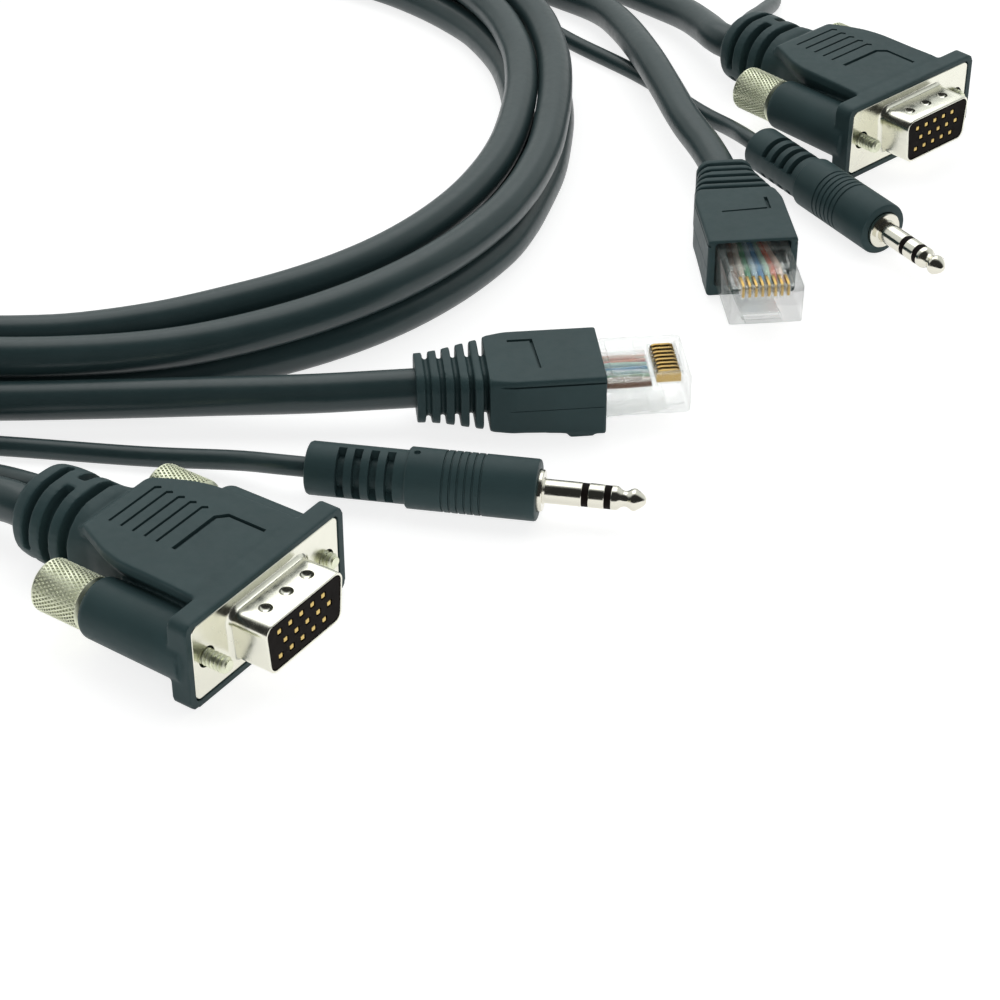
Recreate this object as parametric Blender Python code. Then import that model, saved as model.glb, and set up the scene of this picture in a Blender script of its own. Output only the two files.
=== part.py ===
"""Interface cable: a video cord with an audio tail at each end, and a network cord, wound in one coil.

Metres, +Z up. The origin is the middle of the bottom edge of the front video connector's
mating face, on the table. Each connector is modelled along its own +X, which is the way it
plugs in, and is then turned and placed by an empty.
"""

import math

import bmesh
import bpy
from mathutils import Matrix, Vector

MM = 0.001

# Clearances, in millimetres
GAP = 0.3
FINE_GAP = 0.15

# Where each connector lies: the place of its mating end and the way it points, in millimetres
# and degrees
ENDS = {
    "front": {
        "video": ((0.0, 0.0), -34.5),
        "network": ((58.0, 58.4), 6.1),
        "audio": ((50.8, 27.3), -9.8),
    },
    "rear": {
        "video": ((101.7, 138.7), -47.7),
        "network": ((71.8, 77.3), -84.3),
        "audio": ((101.1, 90.9), -58.2),
    },
}

# Video connector
SCREW_SPACING = 25.0
SCREW_MARGIN = 3.8
FLANGE_WIDTH = SCREW_SPACING + 2 * SCREW_MARGIN
FLANGE_RIM = 1.2
FLANGE_HEIGHT = 13.8
FLANGE_DEPTH = 3.2
VIDEO_AXIS_Z = FLANGE_HEIGHT / 2
PLATE_WIDTH = FLANGE_WIDTH - 2 * FLANGE_RIM
PLATE_HEIGHT = 11.7
PLATE_THICKNESS = 0.8
SHELL_WIDTH = 16.3
SHELL_HEIGHT = 8.1
SHELL_REACH = 6.2
SHELL_WALL = 0.45
SHELL_SLOPE = math.radians(10)
SCREW_DIAMETER = 2.6
SCREW_REACH = 3.6
THREAD_PITCH = 0.64
TUNNEL_DIAMETER = 8.8
TUNNEL_BACK = 18.6
KNOB_DIAMETER = 7.1
KNOB_LENGTH = 7.9
KNURL_TEETH = 16
KNURL_DEPTH = 0.3
CONTACT_PITCH = 2.29
CONTACT_ROW_PITCH = 1.98
CONTACT_DIAMETER = 0.76
BODY_WIDTH_FRONT = 20.6
BODY_WIDTH_MIDDLE = 16.6
BODY_WIDTH_BACK = 15.2
BODY_HEIGHT = 12.2
BODY_BACK = 27.0
VIDEO_BOOT_WIDTH = 13.2
VIDEO_BOOT_HEIGHT = 11.6
VIDEO_BOOT_BACK = 40.0
GRIP_LENGTH = 10.4
GRIP_WIDTH = 0.55
GRIP_DEPTH = 0.45
GRIP_PITCH = 2.1
GRIP_COUNT = 5

# Network connector
PLUG_WIDTH = 11.68
PLUG_HEIGHT = 6.6
PLUG_REACH = 12.8
PLUG_BOTTOM = 2.5
SPIGOT_LENGTH = 8.0
WIRE_PITCH = 1.02
LATCH_WIDTH = 6.0
NETWORK_BOOT_WIDTH = 13.8
NETWORK_BOOT_HEIGHT = 8.9
NETWORK_BOOT_BOTTOM = 1.4
NETWORK_SMOOTH_BACK = 28.3
NETWORK_BOOT_BACK = 40.5
NETWORK_RIBS = 5
NETWORK_AXIS_Z = NETWORK_BOOT_BOTTOM + NETWORK_BOOT_HEIGHT / 2

# Audio connector
AUDIO_DIAMETER = 3.5
AUDIO_REACH = 15.2
AUDIO_BODY_DIAMETER = 8.9
AUDIO_COLLAR_DIAMETER = 6.0
AUDIO_RELIEF_DIAMETER = 7.8
AUDIO_BODY_BACK = 33.9
AUDIO_RELIEF_BACK = 48.5
AUDIO_AXIS_Z = AUDIO_BODY_DIAMETER / 2

# Cords
VIDEO_CORD = 5.9
NETWORK_CORD = 5.9
AUDIO_CORD = 3.0
STRAIGHT = 4.0
THICK_EXIT_Y = -1.6
THIN_EXIT_Y = 3.4

# Coil of the two thick cords, two turns each, two layers high
COIL_CENTRE = (-43.2, 140.1)
COIL_INNER = 73.0
COIL_OUTER = 84.0
COIL_HEIGHT = 11.8
COIL_SEGMENTS = 36
COIL_CORNER = 2.9
TIE_THICKNESS = 1.0
TIE_WIDTH = 4.8
TIE_SEGMENT = 20


def linear(colour):
    """Turn an sRGB hex colour into linear red, green, blue and alpha."""
    channels = [int(colour[place : place + 2], 16) / 255 for place in (1, 3, 5)]
    bent = [c / 12.92 if c <= 0.04045 else ((c + 0.055) / 1.055) ** 2.4 for c in channels]
    return (*bent, 1.0)


def material(name, colour, roughness, metallic=0.0, transmission=0.0):
    """One plain Principled material."""
    made = bpy.data.materials.new(name)
    made.use_nodes = True
    shader = made.node_tree.nodes["Principled BSDF"]
    shader.inputs["Base Color"].default_value = linear(colour)
    shader.inputs["Roughness"].default_value = roughness
    shader.inputs["Metallic"].default_value = metallic
    shader.inputs["Transmission Weight"].default_value = transmission
    made.diffuse_color = linear(colour)
    return made


def clear_scene():
    """Remove whatever the file starts with."""
    for thing in list(bpy.data.objects):
        bpy.data.objects.remove(thing, do_unlink=True)


def finish_object(name, shape, finish, parent=None, helper=False):
    """Make an object of a bmesh, with outward faces and smooth round sides."""
    bmesh.ops.recalc_face_normals(shape, faces=shape.faces)
    mesh = bpy.data.meshes.new(name)
    shape.to_mesh(mesh)
    shape.free()
    mesh.shade_smooth()
    mesh.set_sharp_from_angle(angle=math.radians(32))
    made = bpy.data.objects.new(name, mesh)
    bpy.context.scene.collection.objects.link(made)
    made.parent = parent
    if helper:
        made.hide_render = True
        made.display_type = "WIRE"
    else:
        mesh.materials.append(finish)
    return made


def round_polygon(corners, radius, steps):
    """Points of a convex polygon whose corners are arcs of the radius, counterclockwise."""
    points = []
    count = len(corners)
    for place, corner in enumerate(corners):
        here = Vector(corner)
        back = (Vector(corners[place - 1]) - here).normalized()
        ahead = (Vector(corners[(place + 1) % count]) - here).normalized()
        half = back.angle(ahead) / 2
        centre = here + (back + ahead).normalized() * radius / math.sin(half)
        start = here + back * radius / math.tan(half) - centre
        turn = math.pi - 2 * half
        for step in range(steps + 1):
            points.append(centre + Matrix.Rotation(turn * step / steps, 2) @ start)
    return points


def box_outline(width, height, radius, steps=3, centre=(0.0, 0.0)):
    """A rounded rectangle in the YZ plane, counterclockwise seen from +X."""
    y, z = centre
    sides = ((-1, -1), (1, -1), (1, 1), (-1, 1))
    corners = [(y + a * width / 2, z + b * height / 2) for a, b in sides]
    return round_polygon(corners, radius, steps)


def shell_outline(width, height, radius, z, steps=3):
    """The D outline of a video shell, wide side up."""
    low = width / 2 - height * math.tan(SHELL_SLOPE)
    corners = [
        (-low, z - height / 2),
        (low, z - height / 2),
        (width / 2, z + height / 2),
        (-width / 2, z + height / 2),
    ]
    return round_polygon(corners, radius, steps)


def circle_outline(diameter, sides, z=0.0, y=0.0, depth=0.0):
    """A circle in the YZ plane. With a depth, every second point is sunk, as in a knurl."""
    points = []
    for side in range(sides):
        angle = 2 * math.pi * side / sides
        radius = diameter / 2 - (depth if side % 2 else 0.0)
        points.append((y + radius * math.cos(angle), z + radius * math.sin(angle)))
    return points


def loft(shape, sections, closed=False):
    """Join outlines along X: sections holds (x, outline) in millimetres, all of one length."""
    rings = []
    for x, outline in sections:
        rings.append([shape.verts.new((x * MM, y * MM, z * MM)) for y, z in outline])
    pairs = list(zip(rings, rings[1:]))
    if closed:
        pairs.append((rings[-1], rings[0]))
    for low, high in pairs:
        for place in range(len(low)):
            after = (place + 1) % len(low)
            shape.faces.new((low[place], low[after], high[after], high[place]))
    if not closed:
        shape.faces.new(rings[0])
        shape.faces.new(rings[-1])


def block(shape, low, high):
    """A plain box between two corners, in millimetres."""
    size = Vector(high) - Vector(low)
    middle = (Vector(high) + Vector(low)) / 2
    place = Matrix.Translation(middle * MM) @ Matrix.Diagonal((*(size * MM), 1.0))
    bmesh.ops.create_cube(shape, size=1.0, matrix=place)


def prism(shape, points, low, high):
    """A side outline in the XZ plane, made as deep as low to high along Y, in millimetres."""
    near = [shape.verts.new((x * MM, low * MM, z * MM)) for x, z in points]
    far = [shape.verts.new((x * MM, high * MM, z * MM)) for x, z in points]
    for place in range(len(points)):
        after = (place + 1) % len(points)
        shape.faces.new((near[place], near[after], far[after], far[place]))
    shape.faces.new(near)
    shape.faces.new(far)


def boolean(target, helper, operation):
    """Union or difference by an exact Boolean with a helper object."""
    step = target.modifiers.new(helper.name, "BOOLEAN")
    step.operation = operation
    step.solver = "EXACT"
    step.use_self = operation == "DIFFERENCE"
    step.object = helper


def slot_outline(angles, inner, outer, z):
    """A part ring in the YZ plane between two ellipses, over a range of angles in degrees."""
    steps = 7
    first, last = angles
    turns = [math.radians(first + (last - first) * step / steps) for step in range(steps + 1)]
    out = [(outer[0] / 2 * math.cos(a), z + outer[1] / 2 * math.sin(a)) for a in turns]
    back = [(inner[0] / 2 * math.cos(a), z + inner[1] / 2 * math.sin(a)) for a in reversed(turns)]
    return out + back


def contact_places():
    """The middle of each of the 15 video contacts, as (y, z)."""
    places = []
    for row in (1, 0, -1):
        shift = -CONTACT_PITCH / 4 if row else CONTACT_PITCH / 4
        for column in range(5):
            y = (2 - column) * CONTACT_PITCH + shift
            places.append((y, VIDEO_AXIS_Z + row * CONTACT_ROW_PITCH))
    return places


def video_hood(end, finishes, parent):
    """The moulded hood: flange, tapered body, two screw tunnels and a slotted strain relief."""
    z = VIDEO_AXIS_Z
    body_z = z - 0.2
    tip = 0.82
    shape = bmesh.new()
    loft(
        shape,
        [
            (-VIDEO_BOOT_BACK, box_outline(VIDEO_BOOT_WIDTH * tip, VIDEO_BOOT_HEIGHT * tip, 4.2, 3, (0, z))),
            (-BODY_BACK - 3.2, box_outline(VIDEO_BOOT_WIDTH, VIDEO_BOOT_HEIGHT, 5.2, 3, (0, z))),
            (-BODY_BACK, box_outline(VIDEO_BOOT_WIDTH + 0.6, VIDEO_BOOT_HEIGHT + 0.2, 4.0, 3, (0, z))),
            (-BODY_BACK + 3.0, box_outline(BODY_WIDTH_BACK, BODY_HEIGHT, 2.4, 3, (0, body_z))),
            (-TUNNEL_BACK + 0.6, box_outline(BODY_WIDTH_MIDDLE, BODY_HEIGHT, 1.8, 3, (0, body_z))),
            (-FLANGE_DEPTH + 1.0, box_outline(BODY_WIDTH_FRONT, BODY_HEIGHT, 1.6, 3, (0, body_z))),
        ],
    )
    hood = finish_object(f"{end}_video_hood", shape, finishes["plastic"], parent)

    shape = bmesh.new()
    rounding = 0.5
    flange = box_outline(FLANGE_WIDTH, FLANGE_HEIGHT, 1.3, 2, (0, z))
    inside = box_outline(FLANGE_WIDTH - 2 * rounding, FLANGE_HEIGHT - 2 * rounding, 0.9, 2, (0, z))
    loft(shape, [(-FLANGE_DEPTH, inside), (-FLANGE_DEPTH + rounding, flange), (0.0, flange)])
    boolean(hood, finish_object(f"{end}_flange_form", shape, None, parent, True), "UNION")

    for side in (-1, 1):
        y = side * SCREW_SPACING / 2
        shape = bmesh.new()
        full = circle_outline(TUNNEL_DIAMETER, 16, z, y)
        small = circle_outline(TUNNEL_DIAMETER - 1.2, 16, z, y)
        loft(
            shape,
            [(-TUNNEL_BACK, small), (-TUNNEL_BACK + 0.6, full), (-FLANGE_DEPTH + 1.2, full)],
        )
        name = f"{end}_tunnel_form_{'right' if side < 0 else 'left'}"
        boolean(hood, finish_object(name, shape, None, parent, True), "UNION")

    cut = bmesh.new()
    recess = box_outline(PLATE_WIDTH + 2 * GAP, PLATE_HEIGHT + 2 * GAP, 1.0, 2, (0, z))
    loft(cut, [(-PLATE_THICKNESS - 0.1 - GAP, recess), (1.0, recess)])
    pocket = shell_outline(SHELL_WIDTH, SHELL_HEIGHT, 1.6, z)
    loft(cut, [(-3.0, pocket), (-PLATE_THICKNESS, pocket)])
    for side in (-1, 1):
        bore = circle_outline(SCREW_DIAMETER + 2 * GAP, 12, z, side * SCREW_SPACING / 2)
        loft(cut, [(-TUNNEL_BACK - 1.0, bore), (-1.0, bore)])
    top = body_z + BODY_HEIGHT / 2
    for place in range(GRIP_COUNT):
        x = -23.0 + place * GRIP_PITCH
        block(
            cut,
            (x - GRIP_WIDTH / 2, -GRIP_LENGTH / 2, top - GRIP_DEPTH),
            (x + GRIP_WIDTH / 2, GRIP_LENGTH / 2, top + 1.0),
        )
    corner_x = -23.0 + GRIP_COUNT * GRIP_PITCH + 0.6
    groove = GRIP_WIDTH + 0.1
    outline = [
        (corner_x, -GRIP_LENGTH / 2),
        (corner_x + groove, -GRIP_LENGTH / 2),
        (corner_x + groove, GRIP_LENGTH / 2 - groove),
        (corner_x + 8.4, GRIP_LENGTH / 2 - groove),
        (corner_x + 8.4, GRIP_LENGTH / 2),
        (corner_x, GRIP_LENGTH / 2),
    ]
    low = [cut.verts.new((x * MM, y * MM, (top - GRIP_DEPTH) * MM)) for x, y in outline]
    high = [cut.verts.new((x * MM, y * MM, (top + 1.0) * MM)) for x, y in outline]
    for place in range(len(outline)):
        after = (place + 1) % len(outline)
        cut.faces.new((low[place], low[after], high[after], high[place]))
    cut.faces.new(low)
    cut.faces.new(high)
    slots = (
        (-30.4, (35, 225)),
        (-34.0, (95, 225)),
        (-34.0, (-45, 75)),
        (-37.6, (35, 225)),
    )
    for x, angles in slots:
        core = (VIDEO_BOOT_WIDTH - 4.0, VIDEO_BOOT_HEIGHT - 3.6)
        rim = (VIDEO_BOOT_WIDTH + 6.0, VIDEO_BOOT_HEIGHT + 6.0)
        ring = slot_outline(angles, core, rim, z)
        loft(cut, [(x - 0.75, ring), (x + 0.75, ring)])
    boolean(hood, finish_object(f"{end}_hood_cutter", cut, None, parent, True), "DIFFERENCE")


def video_shell(end, finishes, parent):
    """The nickel plate and D shell, with three dimples above and two below."""
    z = VIDEO_AXIS_Z
    front = -0.1
    back = front - PLATE_THICKNESS
    plate = box_outline(PLATE_WIDTH, PLATE_HEIGHT, 1.0, 3, (0, z))
    foot = shell_outline(SHELL_WIDTH + 1.6, SHELL_HEIGHT + 1.6, 2.8, z)
    outer = shell_outline(SHELL_WIDTH, SHELL_HEIGHT, 2.0, z)
    inner = shell_outline(SHELL_WIDTH - 2 * SHELL_WALL, SHELL_HEIGHT - 2 * SHELL_WALL, 1.6, z)
    shape = bmesh.new()
    loft(
        shape,
        [
            (back, plate),
            (front, plate),
            (front, foot),
            (front + 0.7, outer),
            (SHELL_REACH, outer),
            (SHELL_REACH, inner),
            (back, inner),
        ],
        closed=True,
    )
    shell = finish_object(f"{end}_video_shell", shape, finishes["nickel"], parent)
    cut = bmesh.new()
    for side in (-1, 1):
        hole = circle_outline(SCREW_DIAMETER + 2 * GAP, 12, z, side * SCREW_SPACING / 2)
        loft(cut, [(back - 1.0, hole), (front + 1.0, hole)])
    dimple = 1.25
    for y in (-4.6, 0.0, 4.6):
        place = Matrix.Translation(Vector((3.4, y, z + SHELL_HEIGHT / 2 + dimple - 0.28)) * MM)
        bmesh.ops.create_icosphere(cut, subdivisions=1, radius=dimple * MM, matrix=place)
    for y in (-3.0, 3.0):
        place = Matrix.Translation(Vector((3.4, y, z - SHELL_HEIGHT / 2 - dimple + 0.28)) * MM)
        bmesh.ops.create_icosphere(cut, subdivisions=1, radius=dimple * MM, matrix=place)
    boolean(shell, finish_object(f"{end}_shell_cutter", cut, None, parent, True), "DIFFERENCE")


def video_contacts(end, finishes, parent):
    """The black contact block with 15 holes, and the gilt contacts on their hidden carrier."""
    z = VIDEO_AXIS_Z
    width = SHELL_WIDTH - 2 * SHELL_WALL - 2 * FINE_GAP
    height = SHELL_HEIGHT - 2 * SHELL_WALL - 2 * FINE_GAP
    shape = bmesh.new()
    outline = shell_outline(width, height, 1.5, z)
    loft(shape, [(-1.2, outline), (SHELL_REACH - 0.25, outline)])
    insulator = finish_object(f"{end}_video_insulator", shape, finishes["black"], parent)
    cut = bmesh.new()
    for y, up in contact_places():
        hole = circle_outline(CONTACT_DIAMETER + 2 * FINE_GAP, 6, up, y)
        loft(cut, [(-2.0, hole), (SHELL_REACH + 1.0, hole)])
    boolean(insulator, finish_object(f"{end}_hole_cutter", cut, None, parent, True), "DIFFERENCE")

    shape = bmesh.new()
    carrier = shell_outline(width - 1.0, height - 1.0, 1.2, z)
    loft(shape, [(-2.4, carrier), (-1.2 - FINE_GAP, carrier)])
    contacts = finish_object(f"{end}_video_contacts", shape, finishes["gold"], parent)
    rods = bmesh.new()
    for y, up in contact_places():
        rod = circle_outline(CONTACT_DIAMETER, 6, up, y)
        loft(rods, [(-1.9, rod), (SHELL_REACH - 0.35, rod)])
    boolean(contacts, finish_object(f"{end}_rod_form", rods, None, parent, True), "UNION")


def thumbscrew(end, side, finishes, parent):
    """One captive thumbscrew, with its origin on its own axis."""
    name = "left" if side > 0 else "right"
    knob_front = -TUNNEL_BACK - GAP
    knob_back = knob_front - KNOB_LENGTH
    edge = 0.5
    shape = bmesh.new()
    full = circle_outline(KNOB_DIAMETER, 2 * KNURL_TEETH, depth=KNURL_DEPTH)
    small = circle_outline(KNOB_DIAMETER - 2 * edge - 2 * KNURL_DEPTH, 2 * KNURL_TEETH)
    loft(
        shape,
        [(knob_back, small), (knob_back + edge, full), (knob_front - edge, full), (knob_front, small)],
    )
    screw = finish_object(f"{end}_video_{name}_thumbscrew", shape, finishes["knob"], parent)
    screw.location = Vector((0.0, side * SCREW_SPACING / 2, VIDEO_AXIS_Z)) * MM
    shape = bmesh.new()
    outer = circle_outline(SCREW_DIAMETER, 8)
    root = circle_outline(SCREW_DIAMETER - 0.6, 8)
    sections = [(knob_front - 2.0, outer)]
    for turn in range(4):
        x = SCREW_REACH - 4.5 + turn * 1.6 * THREAD_PITCH
        sections += [(x, outer), (x + 0.25, root), (x + 0.5, outer)]
    sections += [(SCREW_REACH - 0.4, outer), (SCREW_REACH, root)]
    loft(shape, sections)
    shank = finish_object(f"{end}_{name}_shank_form", shape, None, parent, True)
    shank.location = screw.location
    boolean(screw, shank, "UNION")


def network_boot(end, finishes, parent):
    """The ribbed moulded boot, with a pocket for the plug, a latch hump and an angle mark on top."""
    z = NETWORK_AXIS_Z
    pitch = (NETWORK_BOOT_BACK - NETWORK_SMOOTH_BACK) / NETWORK_RIBS
    sections = []
    for rib in range(NETWORK_RIBS):
        start = -NETWORK_BOOT_BACK + rib * pitch
        for x, sink in ((0.0, 0.0), (0.62, 0.0), (0.63, 1.0), (0.995, 1.0)):
            along = (rib + x) / NETWORK_RIBS
            width = 10.0 + 2.9 * along - 2 * sink
            height = 9.2 - 0.3 * along - 2 * sink
            sections.append((start + x * pitch, box_outline(width, height, 2.7 - 0.6 * sink, 2, (0, z))))
    front = -PLUG_REACH
    wide = box_outline(NETWORK_BOOT_WIDTH, NETWORK_BOOT_HEIGHT, 1.3, 2, (0, z))
    neck = box_outline(NETWORK_BOOT_WIDTH - 1.2, NETWORK_BOOT_HEIGHT - 0.3, 1.8, 2, (0, z))
    sections += [(-NETWORK_SMOOTH_BACK, neck), (-NETWORK_SMOOTH_BACK + 4.5, wide), (front, wide)]
    shape = bmesh.new()
    loft(shape, sections)
    boot = finish_object(f"{end}_network_boot", shape, finishes["plastic"], parent)

    shape = bmesh.new()
    hump = [(-19.2, 2.2), (-18.2, 0.0), (-14.6, 0.0), (-13.6, 2.2)]
    prism(shape, hump, -LATCH_WIDTH / 2 - 0.4, LATCH_WIDTH / 2 + 0.4)
    boolean(boot, finish_object(f"{end}_hump_form", shape, None, parent, True), "UNION")

    cut = bmesh.new()
    spigot_z = PLUG_BOTTOM + PLUG_HEIGHT / 2
    pocket = box_outline(PLUG_WIDTH - 0.7, PLUG_HEIGHT - 0.2, 0.6, 2, (0, spigot_z))
    loft(cut, [(front - SPIGOT_LENGTH - GAP, pocket), (front + 1.0, pocket)])
    top = NETWORK_BOOT_BOTTOM + NETWORK_BOOT_HEIGHT
    block(cut, (-26.2, 3.9, top - 0.35), (-22.0, 4.4, top + 1.0))
    block(cut, (-22.5, -4.4, top - 0.35), (-22.0, 4.1, top + 1.0))
    for side in (-1, 1):
        edge = side * NETWORK_BOOT_WIDTH / 2
        low, high = sorted((edge - side * 0.4, edge + side * 1.0))
        block(cut, (-22.0, low, z - 0.25), (front + 1.0, high, z + 0.2))
    boolean(boot, finish_object(f"{end}_boot_cutter", cut, None, parent, True), "DIFFERENCE")


def network_plug(end, finishes, parent):
    """The clear 8-way plug with its sprung latch, its contacts and the wires inside it."""
    top = PLUG_BOTTOM + PLUG_HEIGHT
    back = -PLUG_REACH + GAP
    shape = bmesh.new()
    body = box_outline(PLUG_WIDTH, PLUG_HEIGHT, 0.35, 1, (0, PLUG_BOTTOM + PLUG_HEIGHT / 2))
    nose = box_outline(PLUG_WIDTH - 0.6, PLUG_HEIGHT - 0.8, 0.35, 1, (0, PLUG_BOTTOM + PLUG_HEIGHT / 2))
    spigot = box_outline(
        PLUG_WIDTH - 0.7 - 2 * GAP,
        PLUG_HEIGHT - 0.2 - 2 * GAP,
        0.35,
        1,
        (0, PLUG_BOTTOM + PLUG_HEIGHT / 2),
    )
    loft(
        shape,
        [(-PLUG_REACH - SPIGOT_LENGTH, spigot), (back, spigot), (back, body), (-0.5, body), (0.0, nose)],
    )
    plug = finish_object(f"{end}_network_plug", shape, finishes["clear"], parent)
    shape = bmesh.new()
    latch = [(-1.2, 3.0), (-1.2, 2.2), (back, 0.35), (back, 1.25), (-3.4, 2.4), (-3.4, 3.0)]
    prism(shape, latch, -LATCH_WIDTH / 2, LATCH_WIDTH / 2)
    boolean(plug, finish_object(f"{end}_latch_form", shape, None, parent, True), "UNION")
    cut = bmesh.new()
    slot_back = -6.2
    for place in range(8):
        y = (place - 3.5) * WIRE_PITCH
        half = 0.16 + FINE_GAP
        block(cut, (slot_back, y - half, top - 2.4), (-0.9, y + half, top + 1.0))
    span = 4.5 * WIRE_PITCH
    block(cut, (-PLUG_REACH - SPIGOT_LENGTH - 1.0, -span, top - 4.6), (slot_back - 0.4, span, top - 3.0))
    block(cut, (-PLUG_REACH + 1.4, -span, top - 1.4), (slot_back - 1.2, span, top + 1.0))
    boolean(plug, finish_object(f"{end}_plug_cutter", cut, None, parent, True), "DIFFERENCE")

    for place in range(8):
        y = (place - 3.5) * WIRE_PITCH
        shape = bmesh.new()
        low = top - 2.4 + FINE_GAP
        block(shape, (slot_back + FINE_GAP + 0.4, y - 0.16, low), (-1.4, y + 0.16, top - 0.25))
        finish_object(f"{end}_network_contact_{place + 1}", shape, finishes["brass"], parent)

    shape = bmesh.new()
    outline = []
    half = span - FINE_GAP
    for place in range(9):
        outline.append((-half + 2 * half * place / 8, 0.0))
    ribbon = []
    for place in range(8):
        low, high = outline[place][0], outline[place + 1][0]
        middle = (low + high) / 2
        ribbon += [(low, 0.25), (middle, 0.6)]
    ribbon.append((half, 0.25))
    under = [(y, -up) for y, up in reversed(ribbon)]
    centre = top - 3.8
    ring = [(y, centre + up) for y, up in reversed(ribbon + under)]
    loft(shape, [(-PLUG_REACH - SPIGOT_LENGTH + 0.5, ring), (slot_back - 0.4 - GAP, ring)])
    finish_object(f"{end}_network_wires", shape, finishes["wire"], parent)


def turned(name, profile, sides, finish, parent, z):
    """A turned piece along X from (x, diameter) steps."""
    shape = bmesh.new()
    loft(shape, [(x, circle_outline(diameter, sides, z)) for x, diameter in profile])
    return finish_object(name, shape, finish, parent)


def audio_plug(end, finishes, parent):
    """The moulded body with slotted relief and grip rings, and the four-part jack plug."""
    z = AUDIO_AXIS_Z
    relief, body = AUDIO_RELIEF_DIAMETER, AUDIO_BODY_DIAMETER
    profile = [(-AUDIO_RELIEF_BACK, relief - 1.4), (-AUDIO_RELIEF_BACK + 0.5, relief - 0.4)]
    for slot in range(4):
        x = -44.9 + slot * 2.5
        profile += [(x, relief), (x + 0.02, relief - 2.2), (x + 1.15, relief - 2.2), (x + 1.17, relief)]
    profile += [(-AUDIO_BODY_BACK - 0.2, relief), (-AUDIO_BODY_BACK, body)]
    for ring in range(5):
        x = -29.2 + ring * 1.2
        profile += [(x, body), (x + 0.15, body - 0.5), (x + 0.35, body - 0.5), (x + 0.5, body)]
    profile += [(-AUDIO_REACH - 0.4, body), (-AUDIO_REACH, body - 0.8)]
    moulding = turned(f"{end}_audio_body", profile, 12, finishes["plastic"], parent, z)
    cut = bmesh.new()
    bore = circle_outline(AUDIO_COLLAR_DIAMETER + 2 * GAP, 12, z)
    loft(cut, [(-AUDIO_REACH - 1.6 - GAP, bore), (-AUDIO_REACH + 1.0, bore)])
    boolean(moulding, finish_object(f"{end}_bore_cutter", cut, None, parent, True), "DIFFERENCE")

    start, first, second = -AUDIO_REACH, -8.9, -5.7
    width = 0.7
    sleeve = [
        (start - 1.6, AUDIO_COLLAR_DIAMETER),
        (start + 0.7, AUDIO_COLLAR_DIAMETER),
        (start + 0.7, AUDIO_DIAMETER),
        (first - FINE_GAP, AUDIO_DIAMETER),
    ]
    turned(f"{end}_audio_sleeve", sleeve, 12, finishes["nickel"], parent, z)
    turned(
        f"{end}_audio_insulator_1",
        [(first, AUDIO_DIAMETER - 0.1), (first + width, AUDIO_DIAMETER - 0.1)],
        12,
        finishes["black"],
        parent,
        z,
    )
    turned(
        f"{end}_audio_ring",
        [(first + width + FINE_GAP, AUDIO_DIAMETER), (second - FINE_GAP, AUDIO_DIAMETER)],
        12,
        finishes["nickel"],
        parent,
        z,
    )
    turned(
        f"{end}_audio_insulator_2",
        [(second, AUDIO_DIAMETER - 0.1), (second + width, AUDIO_DIAMETER - 0.1)],
        12,
        finishes["black"],
        parent,
        z,
    )
    tip = [
        (second + width + FINE_GAP, AUDIO_DIAMETER),
        (-3.9, AUDIO_DIAMETER - 0.2),
        (-3.1, 2.3),
        (-2.5, 2.4),
        (-1.7, 3.2),
        (-1.2, 3.2),
        (0.0, 1.0),
    ]
    turned(f"{end}_audio_tip", tip, 12, finishes["nickel"], parent, z)


def connector_point(end, kind, x, y, z):
    """A point of a connector's own frame, on the table's frame, in millimetres."""
    (place_x, place_y), heading = ENDS[end][kind]
    turn = math.radians(heading)
    return Vector(
        (
            place_x + x * math.cos(turn) - y * math.sin(turn),
            place_y + x * math.sin(turn) + y * math.cos(turn),
            z,
        )
    )


def smooth_points(route, spacing):
    """Points at an even spacing on a smooth curve through the route's own points."""
    ends = [2 * route[0] - route[1], *route, 2 * route[-1] - route[-2]]
    fine = []
    for a, b, c, d in zip(ends, ends[1:], ends[2:], ends[3:]):
        for step in range(24):
            t = step / 24
            fine.append(
                0.5
                * (
                    2 * b
                    + (c - a) * t
                    + (2 * a - 5 * b + 4 * c - d) * t**2
                    + (3 * b - a - 3 * c + d) * t**3
                )
            )
    fine.append(route[-1])
    reach = [0.0]
    for low, high in zip(fine, fine[1:]):
        reach.append(reach[-1] + (high - low).length)
    count = max(2, round(reach[-1] / spacing))
    points = []
    place = 0
    for step in range(count + 1):
        want = reach[-1] * step / count
        while place < len(fine) - 2 and reach[place + 1] < want:
            place += 1
        part = (want - reach[place]) / (reach[place + 1] - reach[place])
        points.append(fine[place].lerp(fine[place + 1], min(part, 1.0)))
    return points


def tube(name, route, diameter, finish):
    """A cord along a route, as a round tube with closed ends."""
    curve = bpy.data.curves.new(name, "CURVE")
    curve.dimensions = "3D"
    curve.bevel_depth = diameter / 2 * MM
    curve.bevel_resolution = 2
    curve.use_fill_caps = True
    curve.twist_mode = "MINIMUM"
    points = [route[0], *smooth_points(route[1:-1], 2.5 * diameter), route[-1]]
    spline = curve.splines.new("POLY")
    spline.points.add(len(points) - 1)
    for knot, point in zip(spline.points, points):
        knot.co = (*(point * MM), 1.0)
    curve.materials.append(finish)
    made = bpy.data.objects.new(name, curve)
    bpy.context.scene.collection.objects.link(made)


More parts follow.
